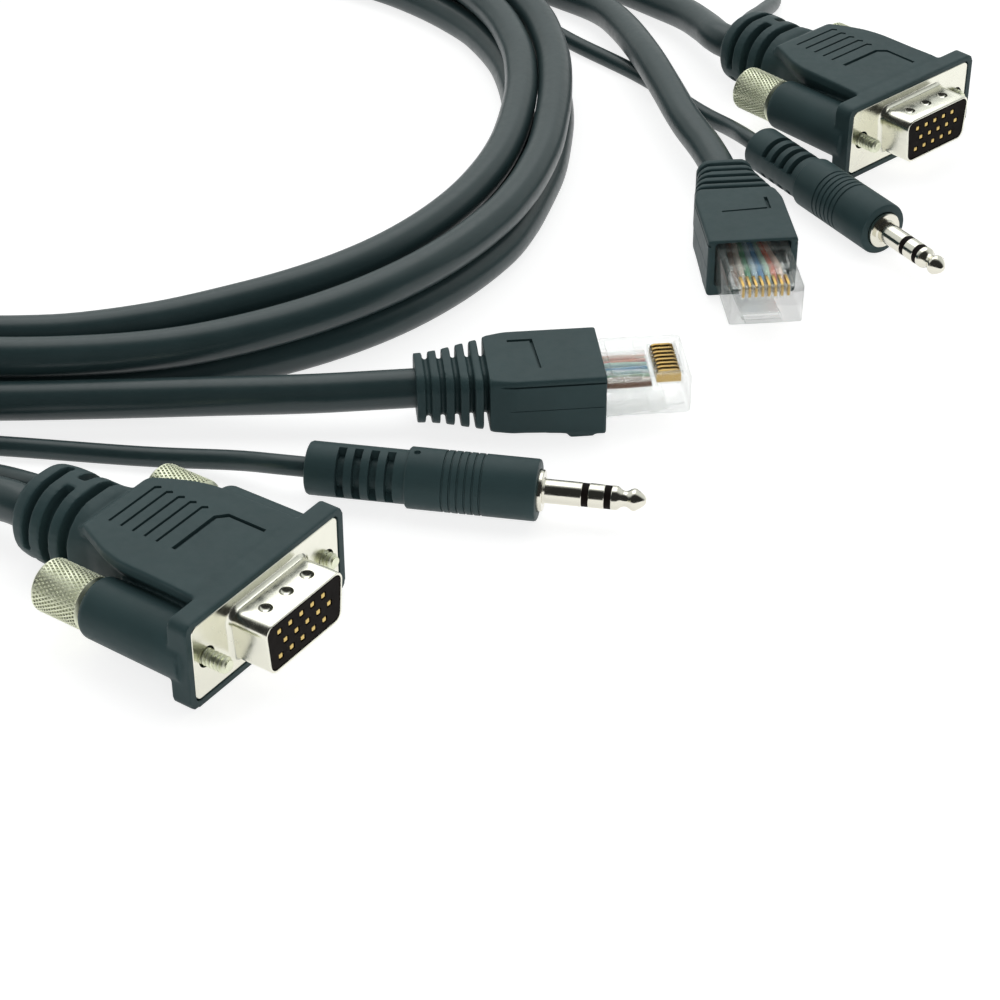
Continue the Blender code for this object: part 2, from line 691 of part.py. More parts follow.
def cords(finishes):
    """The four thick leads and the two audio tails."""
    flat = VIDEO_CORD / 2
    thin = AUDIO_CORD / 2
    axis = VIDEO_AXIS_Z
    out = VIDEO_BOOT_BACK + GAP
    centre = Vector((*COIL_CENTRE, 0.0))
    finish = finishes["cord"]

    def video_exit(end, away, y, z):
        return connector_point(end, "video", -out - away, y, z)

    def network_exit(end, away):
        return connector_point(end, "network", -NETWORK_BOOT_BACK - GAP - away, 0, NETWORK_AXIS_Z)

    def audio_exit(end, away):
        return connector_point(end, "audio", -AUDIO_RELIEF_BACK - GAP - away, 0, AUDIO_AXIS_Z)

    def coil_point(angle, radius, z):
        turn = math.radians(angle)
        return centre + Vector((radius * math.cos(turn), radius * math.sin(turn), z))

    front_video = [
        video_exit("front", 0, THICK_EXIT_Y, axis),
        video_exit("front", STRAIGHT, THICK_EXIT_Y, axis),
        Vector((-45.5, 28.6, 5.5)),
        Vector((-56.0, 32.4, 4.2)),
        Vector((-70.0, 34.6, flat)),
        Vector((-93.0, 37.0, flat)),
        Vector((-118.0, 49.0, flat)),
        Vector((-139.0, 73.0, flat)),
        Vector((-149.0, 104.0, flat)),
        coil_point(184, COIL_OUTER + 16.0, flat),
        coil_point(166, COIL_OUTER + 9.0, flat),
        coil_point(151, COIL_OUTER + flat + GAP, flat),
    ]
    tube("front_video_cord", front_video, VIDEO_CORD, finish)
    front_network = [
        network_exit("front", 0),
        network_exit("front", STRAIGHT),
        Vector((2.0, 52.9, 5.6)),
        Vector((-12.0, 52.7, 5.3)),
        Vector((-28.0, 52.4, 5.0)),
        Vector((-43.0, 52.2, 4.8)),
        Vector((-56.0, 52.8, 4.5)),
        Vector((-68.0, 54.6, 4.0)),
        Vector((-92.0, 61.2, 3.2)),
        Vector((-113.0, 73.5, flat)),
        coil_point(209, COIL_OUTER + 7.5, flat),
        coil_point(193, COIL_OUTER + 5.5, flat),
        coil_point(176, COIL_OUTER + flat + GAP, flat),
    ]
    tube("front_network_cord", front_network, NETWORK_CORD, finish)
    rear_video = [
        video_exit("rear", 0, THICK_EXIT_Y, axis),
        video_exit("rear", STRAIGHT, THICK_EXIT_Y, axis),
        Vector((68.6, 177.2, 5.9)),
        Vector((65.5, 185.0, 4.8)),
        Vector((60.5, 192.4, 3.9)),
        Vector((52.0, 202.5, 3.2)),
        Vector((40.0, 214.0, flat)),
        Vector((22.0, 225.0, flat)),
        Vector((2.0, 232.0, flat)),
        Vector((-20.0, 235.5, flat)),
        coil_point(92, COIL_OUTER + 12.0, flat),
        coil_point(108, COIL_OUTER + 8.0, flat),
        coil_point(124, COIL_OUTER + flat + GAP, flat),
    ]
    tube("rear_video_cord", rear_video, VIDEO_CORD, finish)
    rear_network = [
        network_exit("rear", 0),
        network_exit("rear", STRAIGHT),
        Vector((65.6, 129.0, 6.2)),
        Vector((62.6, 138.6, 6.5)),
        Vector((60.0, 150.5, 6.6)),
        Vector((57.2, 163.0, 6.5)),
        Vector((53.6, 178.5, 5.0)),
        Vector((49.6, 189.5, 3.7)),
        Vector((42.5, 198.0, flat)),
        Vector((33.0, 206.0, flat)),
        Vector((22.0, 213.0, flat)),
        coil_point(58, COIL_OUTER + 8.0, flat),
        coil_point(74, COIL_OUTER + 5.5, flat),
        coil_point(92, COIL_OUTER + flat + GAP, flat),
    ]
    tube("rear_network_cord", rear_network, NETWORK_CORD, finish)
    front_audio = [
        video_exit("front", 0, THIN_EXIT_Y, axis),
        video_exit("front", STRAIGHT, THIN_EXIT_Y, axis),
        Vector((-44.0, 36.0, 3.4)),
        Vector((-56.0, 40.0, thin)),
        Vector((-72.0, 41.4, thin)),
        Vector((-85.0, 41.6, thin)),
        Vector((-91.6, 43.4, thin)),
        Vector((-94.2, 48.0, thin)),
        Vector((-91.4, 52.4, thin)),
        Vector((-85.0, 53.5, thin)),
        Vector((-72.0, 49.8, thin)),
        Vector((-57.0, 46.6, thin)),
        Vector((-42.5, 45.2, thin)),
        Vector((-22.0, 42.6, thin)),
        Vector((-8.0, 39.4, 3.0)),
        audio_exit("front", STRAIGHT),
        audio_exit("front", 0),
    ]
    tube("front_audio_cord", front_audio, AUDIO_CORD, finish)
    rear_audio = [
        video_exit("rear", 0, THIN_EXIT_Y, axis),
        video_exit("rear", STRAIGHT, THIN_EXIT_Y, axis),
        Vector((77.0, 180.5, 5.6)),
        Vector((80.5, 189.0, 3.6)),
        Vector((83.5, 199.0, thin)),
        Vector((82.5, 212.0, thin)),
        Vector((74.0, 222.5, thin)),
        Vector((62.0, 225.5, 2.8)),
        Vector((50.5, 220.0, 7.0)),
        Vector((41.0, 210.5, 9.0)),
        Vector((36.0, 200.5, 8.0)),
        Vector((36.0, 190.5, 2.8)),
        Vector((42.6, 181.6, thin)),
        Vector((56.1, 166.0, thin)),
        Vector((66.2, 151.2, thin)),
        Vector((71.0, 143.0, 2.6)),
        audio_exit("rear", STRAIGHT),
        audio_exit("rear", 0),
    ]
    tube("rear_audio_cord", rear_audio, AUDIO_CORD, finish)


def coil(finishes):
    """The coil's outer shape as one ring, pressed flat where a tie goes round it, far left."""
    middle = (COIL_INNER + COIL_OUTER) / 2
    width = COIL_OUTER - COIL_INNER
    corner = min(COIL_CORNER, 0.45 * width)
    low = COIL_HEIGHT - 2 * (TIE_THICKNESS + GAP)
    full = box_outline(width, COIL_HEIGHT, corner, 2, (middle, COIL_HEIGHT / 2))
    drawn = box_outline(width, low, corner, 2, (middle, COIL_HEIGHT / 2))
    shape = bmesh.new()
    rings = []
    for segment in range(COIL_SEGMENTS):
        outline = drawn if segment in (TIE_SEGMENT, TIE_SEGMENT + 1) else full
        turn = Matrix.Rotation(2 * math.pi * segment / COIL_SEGMENTS, 3, "Z")
        rings.append([shape.verts.new(turn @ Vector((y, 0.0, z)) * MM) for y, z in outline])
    for here, ahead in zip(rings, rings[1:] + rings[:1]):
        for place in range(len(here)):
            after = (place + 1) % len(here)
            shape.faces.new((here[place], here[after], ahead[after], ahead[place]))
    ring = finish_object("cord_coil", shape, finishes["cord"])
    ring.location = Vector((*COIL_CENTRE, 0.0)) * MM

    sag = middle * (1 - math.cos(math.pi / COIL_SEGMENTS))
    centre = (middle - sag, COIL_HEIGHT / 2)
    bore = (width + 2 * GAP, low + 2 * GAP)
    wall = 2 * TIE_THICKNESS
    inner = box_outline(*bore, corner, 2, centre)
    outer = box_outline(bore[0] + wall, bore[1] + wall, corner + TIE_THICKNESS / 2, 2, centre)
    shape = bmesh.new()
    half = TIE_WIDTH / 2
    loft(shape, [(-half, outer), (half, outer), (half, inner), (-half, inner)], closed=True)
    tie = finish_object("coil_tie", shape, finishes["black"])
    tie.location = ring.location
    tie.rotation_euler = (0.0, 0.0, 2 * math.pi * (TIE_SEGMENT + 0.5) / COIL_SEGMENTS - math.pi / 2)


def main():
    clear_scene()
    bpy.context.scene.unit_settings.system = "METRIC"
    finishes = {
        "plastic": material("moulded_plastic", "#3C4A4C", 0.5),
        "cord": material("cord_jacket", "#384648", 0.45),
        "nickel": material("nickel", "#D0D0C4", 0.22, 1.0),
        "knob": material("knob_nickel", "#C2C6AF", 0.35, 1.0),
        "black": material("contact_block", "#14100E", 0.5),
        "gold": material("gilt_contact", "#C8A850", 0.25, 1.0),
        "brass": material("brass_contact", "#B8964C", 0.3, 1.0),
        "clear": material("clear_plastic", "#E4EEEC", 0.1, 0.0, 0.9),
        "wire": material("wire_insulation", "#C8785C", 0.5),
    }
    for end, places in ENDS.items():
        holders = {}
        for kind, (place, heading) in places.items():
            holder = bpy.data.objects.new(f"{end}_{kind}_holder", None)
            holder.location = Vector((*place, 0.0)) * MM
            holder.rotation_euler = (0.0, 0.0, math.radians(heading))
            bpy.context.scene.collection.objects.link(holder)
            holders[kind] = holder
        video_hood(end, finishes, holders["video"])
        video_shell(end, finishes, holders["video"])
        video_contacts(end, finishes, holders["video"])
        for side in (1, -1):
            thumbscrew(end, side, finishes, holders["video"])
        network_boot(end, finishes, holders["network"])
        network_plug(end, finishes, holders["network"])
        audio_plug(end, finishes, holders["audio"])
    cords(finishes)
    coil(finishes)


main()
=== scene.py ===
"""Dressed model of a coiled interface cable with video, network and audio plugs at both ends.

Sizes in this file are millimetres in each connector's own frame, where +X is the way the plug
goes in and +Y is to its left, unless a name says otherwise. Meshes are made in metres.
"""

import logging
import math
from dataclasses import dataclass, field
from enum import Enum
from typing import Callable, Iterable, Sequence

import bmesh
import bpy
from mathutils import Matrix, Vector


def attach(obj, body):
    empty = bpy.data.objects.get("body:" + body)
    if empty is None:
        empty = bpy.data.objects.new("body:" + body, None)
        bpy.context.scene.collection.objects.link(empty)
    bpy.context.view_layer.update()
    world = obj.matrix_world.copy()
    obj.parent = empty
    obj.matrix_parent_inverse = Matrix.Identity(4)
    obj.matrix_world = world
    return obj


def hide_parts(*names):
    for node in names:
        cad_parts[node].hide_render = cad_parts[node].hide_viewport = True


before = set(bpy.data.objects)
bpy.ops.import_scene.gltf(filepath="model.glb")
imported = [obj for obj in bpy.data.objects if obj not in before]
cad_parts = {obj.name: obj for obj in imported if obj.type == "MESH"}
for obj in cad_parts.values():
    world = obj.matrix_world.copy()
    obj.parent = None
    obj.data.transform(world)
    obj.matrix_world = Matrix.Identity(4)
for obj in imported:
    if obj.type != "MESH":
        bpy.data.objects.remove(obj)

log = logging.getLogger("interface_cable")

MM = 0.001
# The sizes of the faint colour mottle and of the dull smears on a moulding
MOTTLE_MM = 6.0
SMEAR_MM = 1.1
# The face size that rounds a moulding's edges, and how often it is smoothed
EDGE_MM = 0.22
EDGE_PASSES = 3
# How far behind its mating end each connector's cord starts, and how high
VIDEO_CORD_START = 40.3
VIDEO_AXIS = 6.9
NETWORK_CORD_START = 40.8
NETWORK_AXIS = 5.85
AUDIO_CORD_START = 48.8
AUDIO_AXIS = 4.45

Outline = list[tuple[float, float]]
Section = tuple[float, Outline]


class End(Enum):
    """The two ends of the cable."""

    FRONT = "front"
    REAR = "rear"


class Operation(Enum):
    """What a Boolean does with the second shape."""

    UNION = "UNION"
    CUT = "DIFFERENCE"


@dataclass(frozen=True)
class Placement:
    """Where a connector's mating end lies on the table, and the way it points, in degrees."""

    x: float
    y: float
    heading: float

    def matrix(self) -> Matrix:
        """The connector's own frame to the row frame, in metres."""
        turn = Matrix.Rotation(math.radians(self.heading), 4, "Z")
        return Matrix.Translation((self.x * MM, self.y * MM, 0.0)) @ turn

    def point(self, x: float, y: float, z: float) -> Vector:
        """A point of the connector's own frame on the table's frame, in millimetres."""
        return self.matrix() @ Vector((x * MM, y * MM, z * MM)) / MM


PLACES: dict[End, dict[str, Placement]] = {
    End.FRONT: {
        "video": Placement(0.0, 0.0, -34.5),
        "network": Placement(58.0, 58.4, 6.1),
        "audio": Placement(50.8, 27.3, -9.8),
    },
    End.REAR: {
        "video": Placement(101.7, 138.7, -47.7),
        "network": Placement(71.8, 77.3, -84.3),
        "audio": Placement(101.1, 90.9, -58.2),
    },
}


def linear(colour: str) -> tuple[float, float, float, float]:
    """Turn an sRGB hex colour into linear light.

    Args:
        colour: six hex digits after a hash sign.

    Returns:
        Red, green, blue and an alpha of one.
    """
    channels = [int(colour[place : place + 2], 16) / 255 for place in (1, 3, 5)]
    bent = [c / 12.92 if c <= 0.04045 else ((c + 0.055) / 1.055) ** 2.4 for c in channels]
    return (bent[0], bent[1], bent[2], 1.0)


def add_node(
    tree: bpy.types.NodeTree,
    kind: str,
    settings: dict[str, object] | None = None,
    inputs: dict[int | str, object] | None = None,
) -> bpy.types.Node:
    """Add one node, with its settings, its input values and its links.

    Args:
        tree: the material's or the geometry's node tree.
        kind: the node's type name.
        settings: properties of the node itself.
        inputs: a value or an output socket for each input, by name or place.

    Returns:
        The new node.
    """
    node = tree.nodes.new(kind)
    for name, value in (settings or {}).items():
        setattr(node, name, value)
    for name, value in (inputs or {}).items():
        if isinstance(value, bpy.types.NodeSocket):
            tree.links.new(value, node.inputs[name])
        else:
            node.inputs[name].default_value = value
    return node


def bare_material(name: str) -> tuple[bpy.types.Material, bpy.types.NodeTree, bpy.types.Node]:
    """A material with its Principled shader.

    Args:
        name: the material's name.

    Returns:
        The material, its tree and its shader.
    """
    made = bpy.data.materials.new(name)
    made.use_nodes = True
    return made, made.node_tree, made.node_tree.nodes["Principled BSDF"]


def grain(tree: bpy.types.NodeTree, size_mm: float, detail: float = 2.0) -> bpy.types.NodeSocket:
    """Noise on Object coordinates with features of one real size.

    Args:
        tree: the material's tree.
        size_mm: the size of one feature.
        detail: how many finer octaves it has.

    Returns:
        The noise's factor.
    """
    place = add_node(tree, "ShaderNodeTexCoord")
    inputs = {"Vector": place.outputs["Object"], "Scale": 1 / (size_mm * MM), "Detail": detail}
    return add_node(tree, "ShaderNodeTexNoise", None, inputs).outputs["Fac"]


def spread(
    tree: bpy.types.NodeTree, source: bpy.types.NodeSocket, low: float, high: float
) -> bpy.types.NodeSocket:
    """Map a noise's middle range to low and high.

    Args:
        tree: the material's tree.
        source: the noise.
        low: the value at its low side.
        high: the value at its high side.

    Returns:
        The mapped value.
    """
    inputs = {"Value": source, "From Min": 0.3, "From Max": 0.7, "To Min": low, "To Max": high}
    return add_node(tree, "ShaderNodeMapRange", None, inputs).outputs["Result"]


def roughen(
    tree: bpy.types.NodeTree, shader: bpy.types.Node, size_mm: float, depth_mm: float
) -> None:
    """Give a shader a fine bump.

    Args:
        tree: the material's tree.
        shader: its Principled shader.
        size_mm: the size of one bump.
        depth_mm: how deep it is.
    """
    inputs = {"Height": grain(tree, size_mm, 1.0), "Strength": 1.0, "Distance": depth_mm * MM}
    bump = add_node(tree, "ShaderNodeBump", None, inputs)
    tree.links.new(bump.outputs["Normal"], shader.inputs["Normal"])


@dataclass(frozen=True)
class MouldedPlastic:
    """Plastic shaped in a spark-eroded mould: an even colour with a fine, dull grain."""

    name: str
    colour: str
    mottle: str
    roughness: float
    grain_mm: float
    depth_mm: float
    specular: float = 0.5

    def build(self) -> bpy.types.Material:
        """Make the material."""
        made, tree, shader = bare_material(self.name)
        factor, first, second, result = 0, 6, 7, 2
        inputs = {
            factor: spread(tree, grain(tree, MOTTLE_MM), 0.0, 1.0),
            first: linear(self.colour),
            second: linear(self.mottle),
        }
        mix = add_node(tree, "ShaderNodeMix", {"data_type": "RGBA"}, inputs)
        tree.links.new(mix.outputs[result], shader.inputs["Base Color"])
        rough = spread(tree, grain(tree, SMEAR_MM), self.roughness - 0.04, self.roughness + 0.04)
        tree.links.new(rough, shader.inputs["Roughness"])
        roughen(tree, shader, self.grain_mm, self.depth_mm)
        shader.inputs["Specular IOR Level"].default_value = self.specular
        return made


@dataclass(frozen=True)
class PlatedMetal:
    """Plated metal: a plain bright colour, slight ripples and patches of duller plate."""

    name: str
    colour: str
    roughness: float
    ripple_mm: float
    depth_mm: float

    def build(self) -> bpy.types.Material:
        """Make the material."""
        made, tree, shader = bare_material(self.name)
        shader.inputs["Base Color"].default_value = linear(self.colour)
        shader.inputs["Metallic"].default_value = 1.0
        rough = spread(tree, grain(tree, 1.6), self.roughness * 0.75, self.roughness * 1.3)
        tree.links.new(rough, shader.inputs["Roughness"])
        roughen(tree, shader, self.ripple_mm, self.depth_mm)
        return made


@dataclass(frozen=True)
class ClearPlastic:
    """Clear polycarbonate: polished mould faces, seen through, whiter where it is edge-on."""

    name: str
    colour: str
    roughness: float
    clearness: float
    edge: float

    def build(self) -> bpy.types.Material:
        """Make the material."""
        made, tree, shader = bare_material(self.name)
        shader.inputs["Base Color"].default_value = linear(self.colour)
        shader.inputs["Transmission Weight"].default_value = 0.7
        shader.inputs["IOR"].default_value = 1.3
        rough = spread(tree, grain(tree, 2.0), self.roughness * 0.6, self.roughness * 1.5)
        tree.links.new(rough, shader.inputs["Roughness"])
        facing = add_node(tree, "ShaderNodeLayerWeight", None, {"Blend": 0.35})
        inputs = {
            "Value": facing.outputs["Facing"],
            "To Min": 1.0 - self.clearness,
            "To Max": self.edge,
        }
        alpha = add_node(tree, "ShaderNodeMapRange", None, inputs)
        tree.links.new(alpha.outputs["Result"], shader.inputs["Alpha"])
        return made


# Overmoulded soft PVC. The mould's grain is about 0.1 mm, drawn at 0.25 mm so that it shows
SOFT_PVC = MouldedPlastic("moulded_soft_pvc", "#34484A", "#384D4F", 0.48, 0.25, 0.006, 0.22)
# Extruded PVC jacket. It is drawn through a die, so it is smoother and glossier
JACKET_PVC = MouldedPlastic("extruded_pvc_jacket", "#2C3F41", "#304345", 0.34, 0.5, 0.003)
# Glass-filled nylon of the contact block
BLACK_NYLON = MouldedPlastic("black_nylon", "#120D0A", "#17110E", 0.7, 0.2, 0.004, 0.12)
# Nickel on drawn steel: warm, bright, with the slight ripple that drawing leaves
DRAWN_NICKEL = PlatedMetal("nickel_on_drawn_steel", "#ECEBDD", 0.22, 2.5, 0.008)
# Nickel over a rolled knurl: a little duller and yellower
KNURLED_NICKEL = PlatedMetal("nickel_on_knurl", "#EDF0D8", 0.5, 0.6, 0.004)
# Nickel on turned brass
TURNED_NICKEL = PlatedMetal("nickel_on_turned_brass", "#E2DFD2", 0.16, 1.2, 0.003)
# Flash gold on the contacts
GILT = PlatedMetal("flash_gold", "#D9BC74", 0.3, 0.5, 0.003)
# Gold on stamped phosphor bronze
STAMPED_GILT = PlatedMetal("gold_on_stamped_bronze", "#BFA060", 0.3, 0.5, 0.004)
# Polished polycarbonate
POLYCARBONATE = ClearPlastic("clear_polycarbonate", "#EEF6F2", 0.05, 0.93, 0.62)

# Core insulation from the plug's right side to its left
CORE_COLOURS = (
    ("brown_core", "#7A5238"),
    ("pale_brown_core", "#E2D6C8"),
    ("green_core", "#2F9A66"),
    ("pale_blue_core", "#BFDCEE"),
    ("blue_core", "#2F8FC8"),
    ("pale_green_core", "#C6EAD2"),
    ("orange_core", "#F06A3A"),
    ("pale_orange_core", "#F6D5C2"),
)


def circle(diameter: float, sides: int, y: float = 0.0, z: float = 0.0) -> Outline:
    """A circle's points in the YZ plane."""
    points = []
    for side in range(sides):
        angle = 2 * math.pi * side / sides
        points.append((y + diameter / 2 * math.cos(angle), z + diameter / 2 * math.sin(angle)))
    return points


def round_polygon(corners: Sequence[tuple[float, float]], radius: float, steps: int) -> Outline:
    """Round the corners of a convex polygon.

    Args:
        corners: the corners, counterclockwise.
        radius: the corner radius.
        steps: faces in each corner.

    Returns:
        The rounded outline.
    """
    points = []
    count = len(corners)
    for place, corner in enumerate(corners):
        here = Vector(corner)
        back = (Vector(corners[place - 1]) - here).normalized()
        ahead = (Vector(corners[(place + 1) % count]) - here).normalized()
        half = back.angle(ahead) / 2
        centre = here + (back + ahead).normalized() * radius / math.sin(half)
        start = here + back * radius / math.tan(half) - centre
        turn = math.pi - 2 * half
        for step in range(steps + 1):
            spot = centre + Matrix.Rotation(turn * step / steps, 2) @ start
            points.append((spot.x, spot.y))
    return points


def box_outline(
    width: float, height: float, radius: float, z: float = 0.0, y: float = 0.0, steps: int = 8
) -> Outline:
    """A rounded rectangle in the YZ plane."""
    sides = ((-1, -1), (1, -1), (1, 1), (-1, 1))
    corners = [(y + a * width / 2, z + b * height / 2) for a, b in sides]
    return round_polygon(corners, min(radius, width / 2 - 0.01, height / 2 - 0.01), steps)


def part_ring(
    angles: tuple[float, float], inner: tuple[float, float], outer: tuple[float, float], z: float
) -> Outline:
    """A part ring between two ellipses in the YZ plane.

    Args:
        angles: its first and last angle, in degrees.
        inner: width and height of the inner ellipse.
        outer: width and height of the outer ellipse.
        z: the height of its centre.

    Returns:
        The outline.
    """
    steps = 28
    first, last = angles
    turns = [math.radians(first + (last - first) * step / steps) for step in range(steps + 1)]
    out = [(outer[0] / 2 * math.cos(a), z + outer[1] / 2 * math.sin(a)) for a in turns]
    back = [(inner[0] / 2 * math.cos(a), z + inner[1] / 2 * math.sin(a)) for a in reversed(turns)]
    return out + back


def smooth_keys(keys: Sequence[Sequence[float]], step: float) -> list[list[float]]:
    """Fill in rows between key rows, on curves that never overshoot.

    Args:
        keys: rows whose first value is the place, in rising order.
        step: the largest distance between two rows of the result.

    Returns:
        The filled rows.
    """
    slopes = []
    for place in range(len(keys)):
        if place in (0, len(keys) - 1):
            slopes.append([0.0] * len(keys[0]))
            continue
        before, here, after = keys[place - 1], keys[place], keys[place + 1]
        row = [1.0]
        for column in range(1, len(here)):
            low = (here[column] - before[column]) / (here[0] - before[0])
            high = (after[column] - here[column]) / (after[0] - here[0])
            row.append(0.0 if low * high <= 0 else 2 * low * high / (low + high))
        slopes.append(row)
    rows = []
    for place in range(len(keys) - 1):
        low, high = keys[place], keys[place + 1]
        gap = high[0] - low[0]
        count = max(1, math.ceil(gap / step))
        for part in range(count):
            t = part / count
            row = [low[0] + gap * t]
            for column in range(1, len(low)):
                row.append(
                    (2 * t**3 - 3 * t**2 + 1) * low[column]
                    + (t**3 - 2 * t**2 + t) * gap * slopes[place][column]
                    + (3 * t**2 - 2 * t**3) * high[column]
                    + (t**3 - t**2) * gap * slopes[place + 1][column]
                )
            rows.append(row)
    rows.append(list(keys[-1]))
    return rows


class Shape:
    """Closed shapes gathered in one mesh before they become an object."""

    def __init__(self) -> None:
        """Start with nothing."""
        self.mesh = bmesh.new()

    def loft(self, sections: Iterable[Section], closed: bool = False) -> "Shape":
        """Join outlines along X.

        Args:
            sections: the place on X and the outline of each, all with as many points.
            closed: join the last to the first, as in a ring, in place of end faces.

        Returns:
            The shape itself.
        """
        rings = [
            [self.mesh.verts.new((x * MM, y * MM, z * MM)) for y, z in outline]
            for x, outline in sections
        ]
        pairs = list(zip(rings, rings[1:])) + ([(rings[-1], rings[0])] if closed else [])
        faces = []
        for low, high in pairs:
            for place in range(len(low)):
                after = (place + 1) % len(low)
                corners = (low[place], low[after], high[after], high[place])
                faces.append(self.mesh.faces.new(corners))
        if not closed:
            faces += [self.mesh.faces.new(rings[0]), self.mesh.faces.new(rings[-1])]
        bmesh.ops.recalc_face_normals(self.mesh, faces=faces)
        return self

    def box(self, low: Sequence[float], high: Sequence[float]) -> "Shape":
        """Add a box between two corners."""
        size = Vector(high) - Vector(low)
        middle = (Vector(high) + Vector(low)) / 2
        place = Matrix.Translation(middle * MM) @ Matrix.Diagonal((*(size * MM), 1.0))
        bmesh.ops.create_cube(self.mesh, size=1.0, matrix=place)
        return self

    def ball(self, centre: Sequence[float], radius: float) -> "Shape":
        """Add a ball."""
        place = Matrix.Translation(Vector(centre) * MM)
        bmesh.ops.create_uvsphere(
            self.mesh, u_segments=24, v_segments=14, radius=radius * MM, matrix=place
        )
        return self

    def prism(self, points: Outline, low: float, high: float, axis: str = "Y") -> "Shape":
        """Push an outline along an axis.

        Args:
            points: (x, z) points for axis Y, or (x, y) points for axis Z.
            low: where it starts on the axis.
            high: where it ends.
            axis: Y or Z.

        Returns:
            The shape itself.
        """

        def spot(a: float, b: float, along: float) -> Vector:
            """The point at one corner and one end."""
            return Vector((a, along, b) if axis == "Y" else (a, b, along)) * MM

        near = [self.mesh.verts.new(spot(a, b, low)) for a, b in points]
        far = [self.mesh.verts.new(spot(a, b, high)) for a, b in points]
        faces = [self.mesh.faces.new(near), self.mesh.faces.new(far)]
        for place in range(len(points)):
            after = (place + 1) % len(points)
            faces.append(self.mesh.faces.new((near[place], near[after], far[after], far[place])))
        bmesh.ops.recalc_face_normals(self.mesh, faces=faces)
        return self

    def done(self, name: str) -> bpy.types.Object:
        """Make an object of the gathered shapes, in the scene."""
        mesh = bpy.data.meshes.new(name)
        self.mesh.to_mesh(mesh)
        self.mesh.free()
        made = bpy.data.objects.new(name, mesh)
        bpy.context.scene.collection.objects.link(made)
        return made


def settle_modifiers(piece: bpy.types.Object) -> bpy.types.Object:
    """Turn a piece's modifiers into its own mesh, and return the piece."""
    bpy.context.view_layer.update()
    graph = bpy.context.evaluated_depsgraph_get()
    mesh = bpy.data.meshes.new_from_object(piece.evaluated_get(graph))
    piece.modifiers.clear()
    old = piece.data
    piece.data = mesh
    bpy.data.meshes.remove(old)
    return piece


def combine(
    target: bpy.types.Object, tool: bpy.types.Object, operation: Operation
) -> bpy.types.Object:
    """Join a tool shape to a target or cut it away, and delete the tool.

    Args:
        target: the piece that changes.
        tool: the shape that is joined or cut away.
        operation: which of the two.

    Returns:
        The target.
    """
    step = target.modifiers.new("step", "BOOLEAN")
    step.operation = operation.value
    step.solver = "EXACT"
    step.use_self = True
    step.object = tool
    settle_modifiers(target)
    bpy.data.objects.remove(tool, do_unlink=True)
    return target


def soften(piece: bpy.types.Object) -> bpy.types.Object:
    """Give a closed piece the small round edges of a moulding, and return it."""
    remesh = piece.modifiers.new("remesh", "REMESH")
    remesh.mode = "VOXEL"
    remesh.voxel_size = EDGE_MM * MM
    smooth = piece.modifiers.new("smooth", "SMOOTH")
    smooth.factor = 0.5
    smooth.iterations = EDGE_PASSES
    return settle_modifiers(piece)


def join(name: str, pieces: Sequence[bpy.types.Object]) -> bpy.types.Object:
    """Put the meshes of several pieces in one object, keeping their materials.

    Args:
        name: the new object's name.
        pieces: the pieces, which are deleted.

    Returns:
        The joined object.
    """
    gathered = bmesh.new()
    materials: list[bpy.types.Material] = []
    for piece in pieces:
        first = len(gathered.faces)
        gathered.from_mesh(piece.data)
        gathered.faces.ensure_lookup_table()
        for material in piece.data.materials:
            if material not in materials:
                materials.append(material)
        if piece.data.materials:
            own = [materials.index(material) for material in piece.data.materials]
            for face in gathered.faces[first:]:
                face.material_index = own[min(face.material_index, len(own) - 1)]
    mesh = bpy.data.meshes.new(name)
    gathered.to_mesh(mesh)
    gathered.free()
    for material in materials:
        mesh.materials.append(material)
    for piece in pieces:
        bpy.data.objects.remove(piece, do_unlink=True)
    made = bpy.data.objects.new(name, mesh)
    bpy.context.scene.collection.objects.link(made)
    return made


class Pattern:
    """A Geometry Nodes tree with named inputs, which is run once and leaves a plain mesh."""

    def __init__(self, name: str, sockets: Sequence[tuple[str, str]]) -> None:
        """Start a tree.

        Args:
            name: the tree's name.
            sockets: the name and type of each input.
        """
        self.tree = bpy.data.node_groups.new(name, "GeometryNodeTree")
        face = self.tree.interface
        face.new_socket("Geometry", in_out="INPUT", socket_type="NodeSocketGeometry")
        for label, kind in sockets:
            face.new_socket(label, in_out="INPUT", socket_type=kind)
        face.new_socket("Geometry", in_out="OUTPUT", socket_type="NodeSocketGeometry")
        self.given = add_node(self.tree, "NodeGroupInput").outputs

    def add(
        self,
        kind: str,
        settings: dict[str, object] | None = None,
        inputs: dict[int | str, object] | None = None,
    ) -> bpy.types.NodeOutputs:
        """Add a node to the tree and return its outputs."""
        return add_node(self.tree, kind, settings, inputs).outputs

    def math(self, operation: str, *values: object) -> bpy.types.NodeSocket:
        """Add one step of arithmetic and return its result."""
        inputs = dict(enumerate(values))
        return self.add("ShaderNodeMath", {"operation": operation}, inputs)[0]

    def close(self, geometry: bpy.types.NodeSocket) -> None:
        """End the tree: real geometry, dressed in the Finish input."""
        real = self.add("GeometryNodeRealizeInstances", None, {0: geometry})[0]
        inputs = {"Geometry": real, "Material": self.given["Finish"]}
        dressed = self.add("GeometryNodeSetMaterial", None, inputs)[0]
        add_node(self.tree, "NodeGroupOutput", None, {0: dressed})

    def run(self, name: str, values: dict[str, object]) -> bpy.types.Object:
        """Run the tree with these values.

        Args:
            name: the new object's name.
            values: a value for each named input.

        Returns:
            A plain mesh object.
        """
        made = Shape().done(name)
        step = made.modifiers.new("pattern", "NODES")
        step.node_group = self.tree
        for item in self.tree.interface.items_tree:
            if item.in_out == "INPUT" and item.name in values:
                step[item.identifier] = values[item.name]
        return settle_modifiers(made)


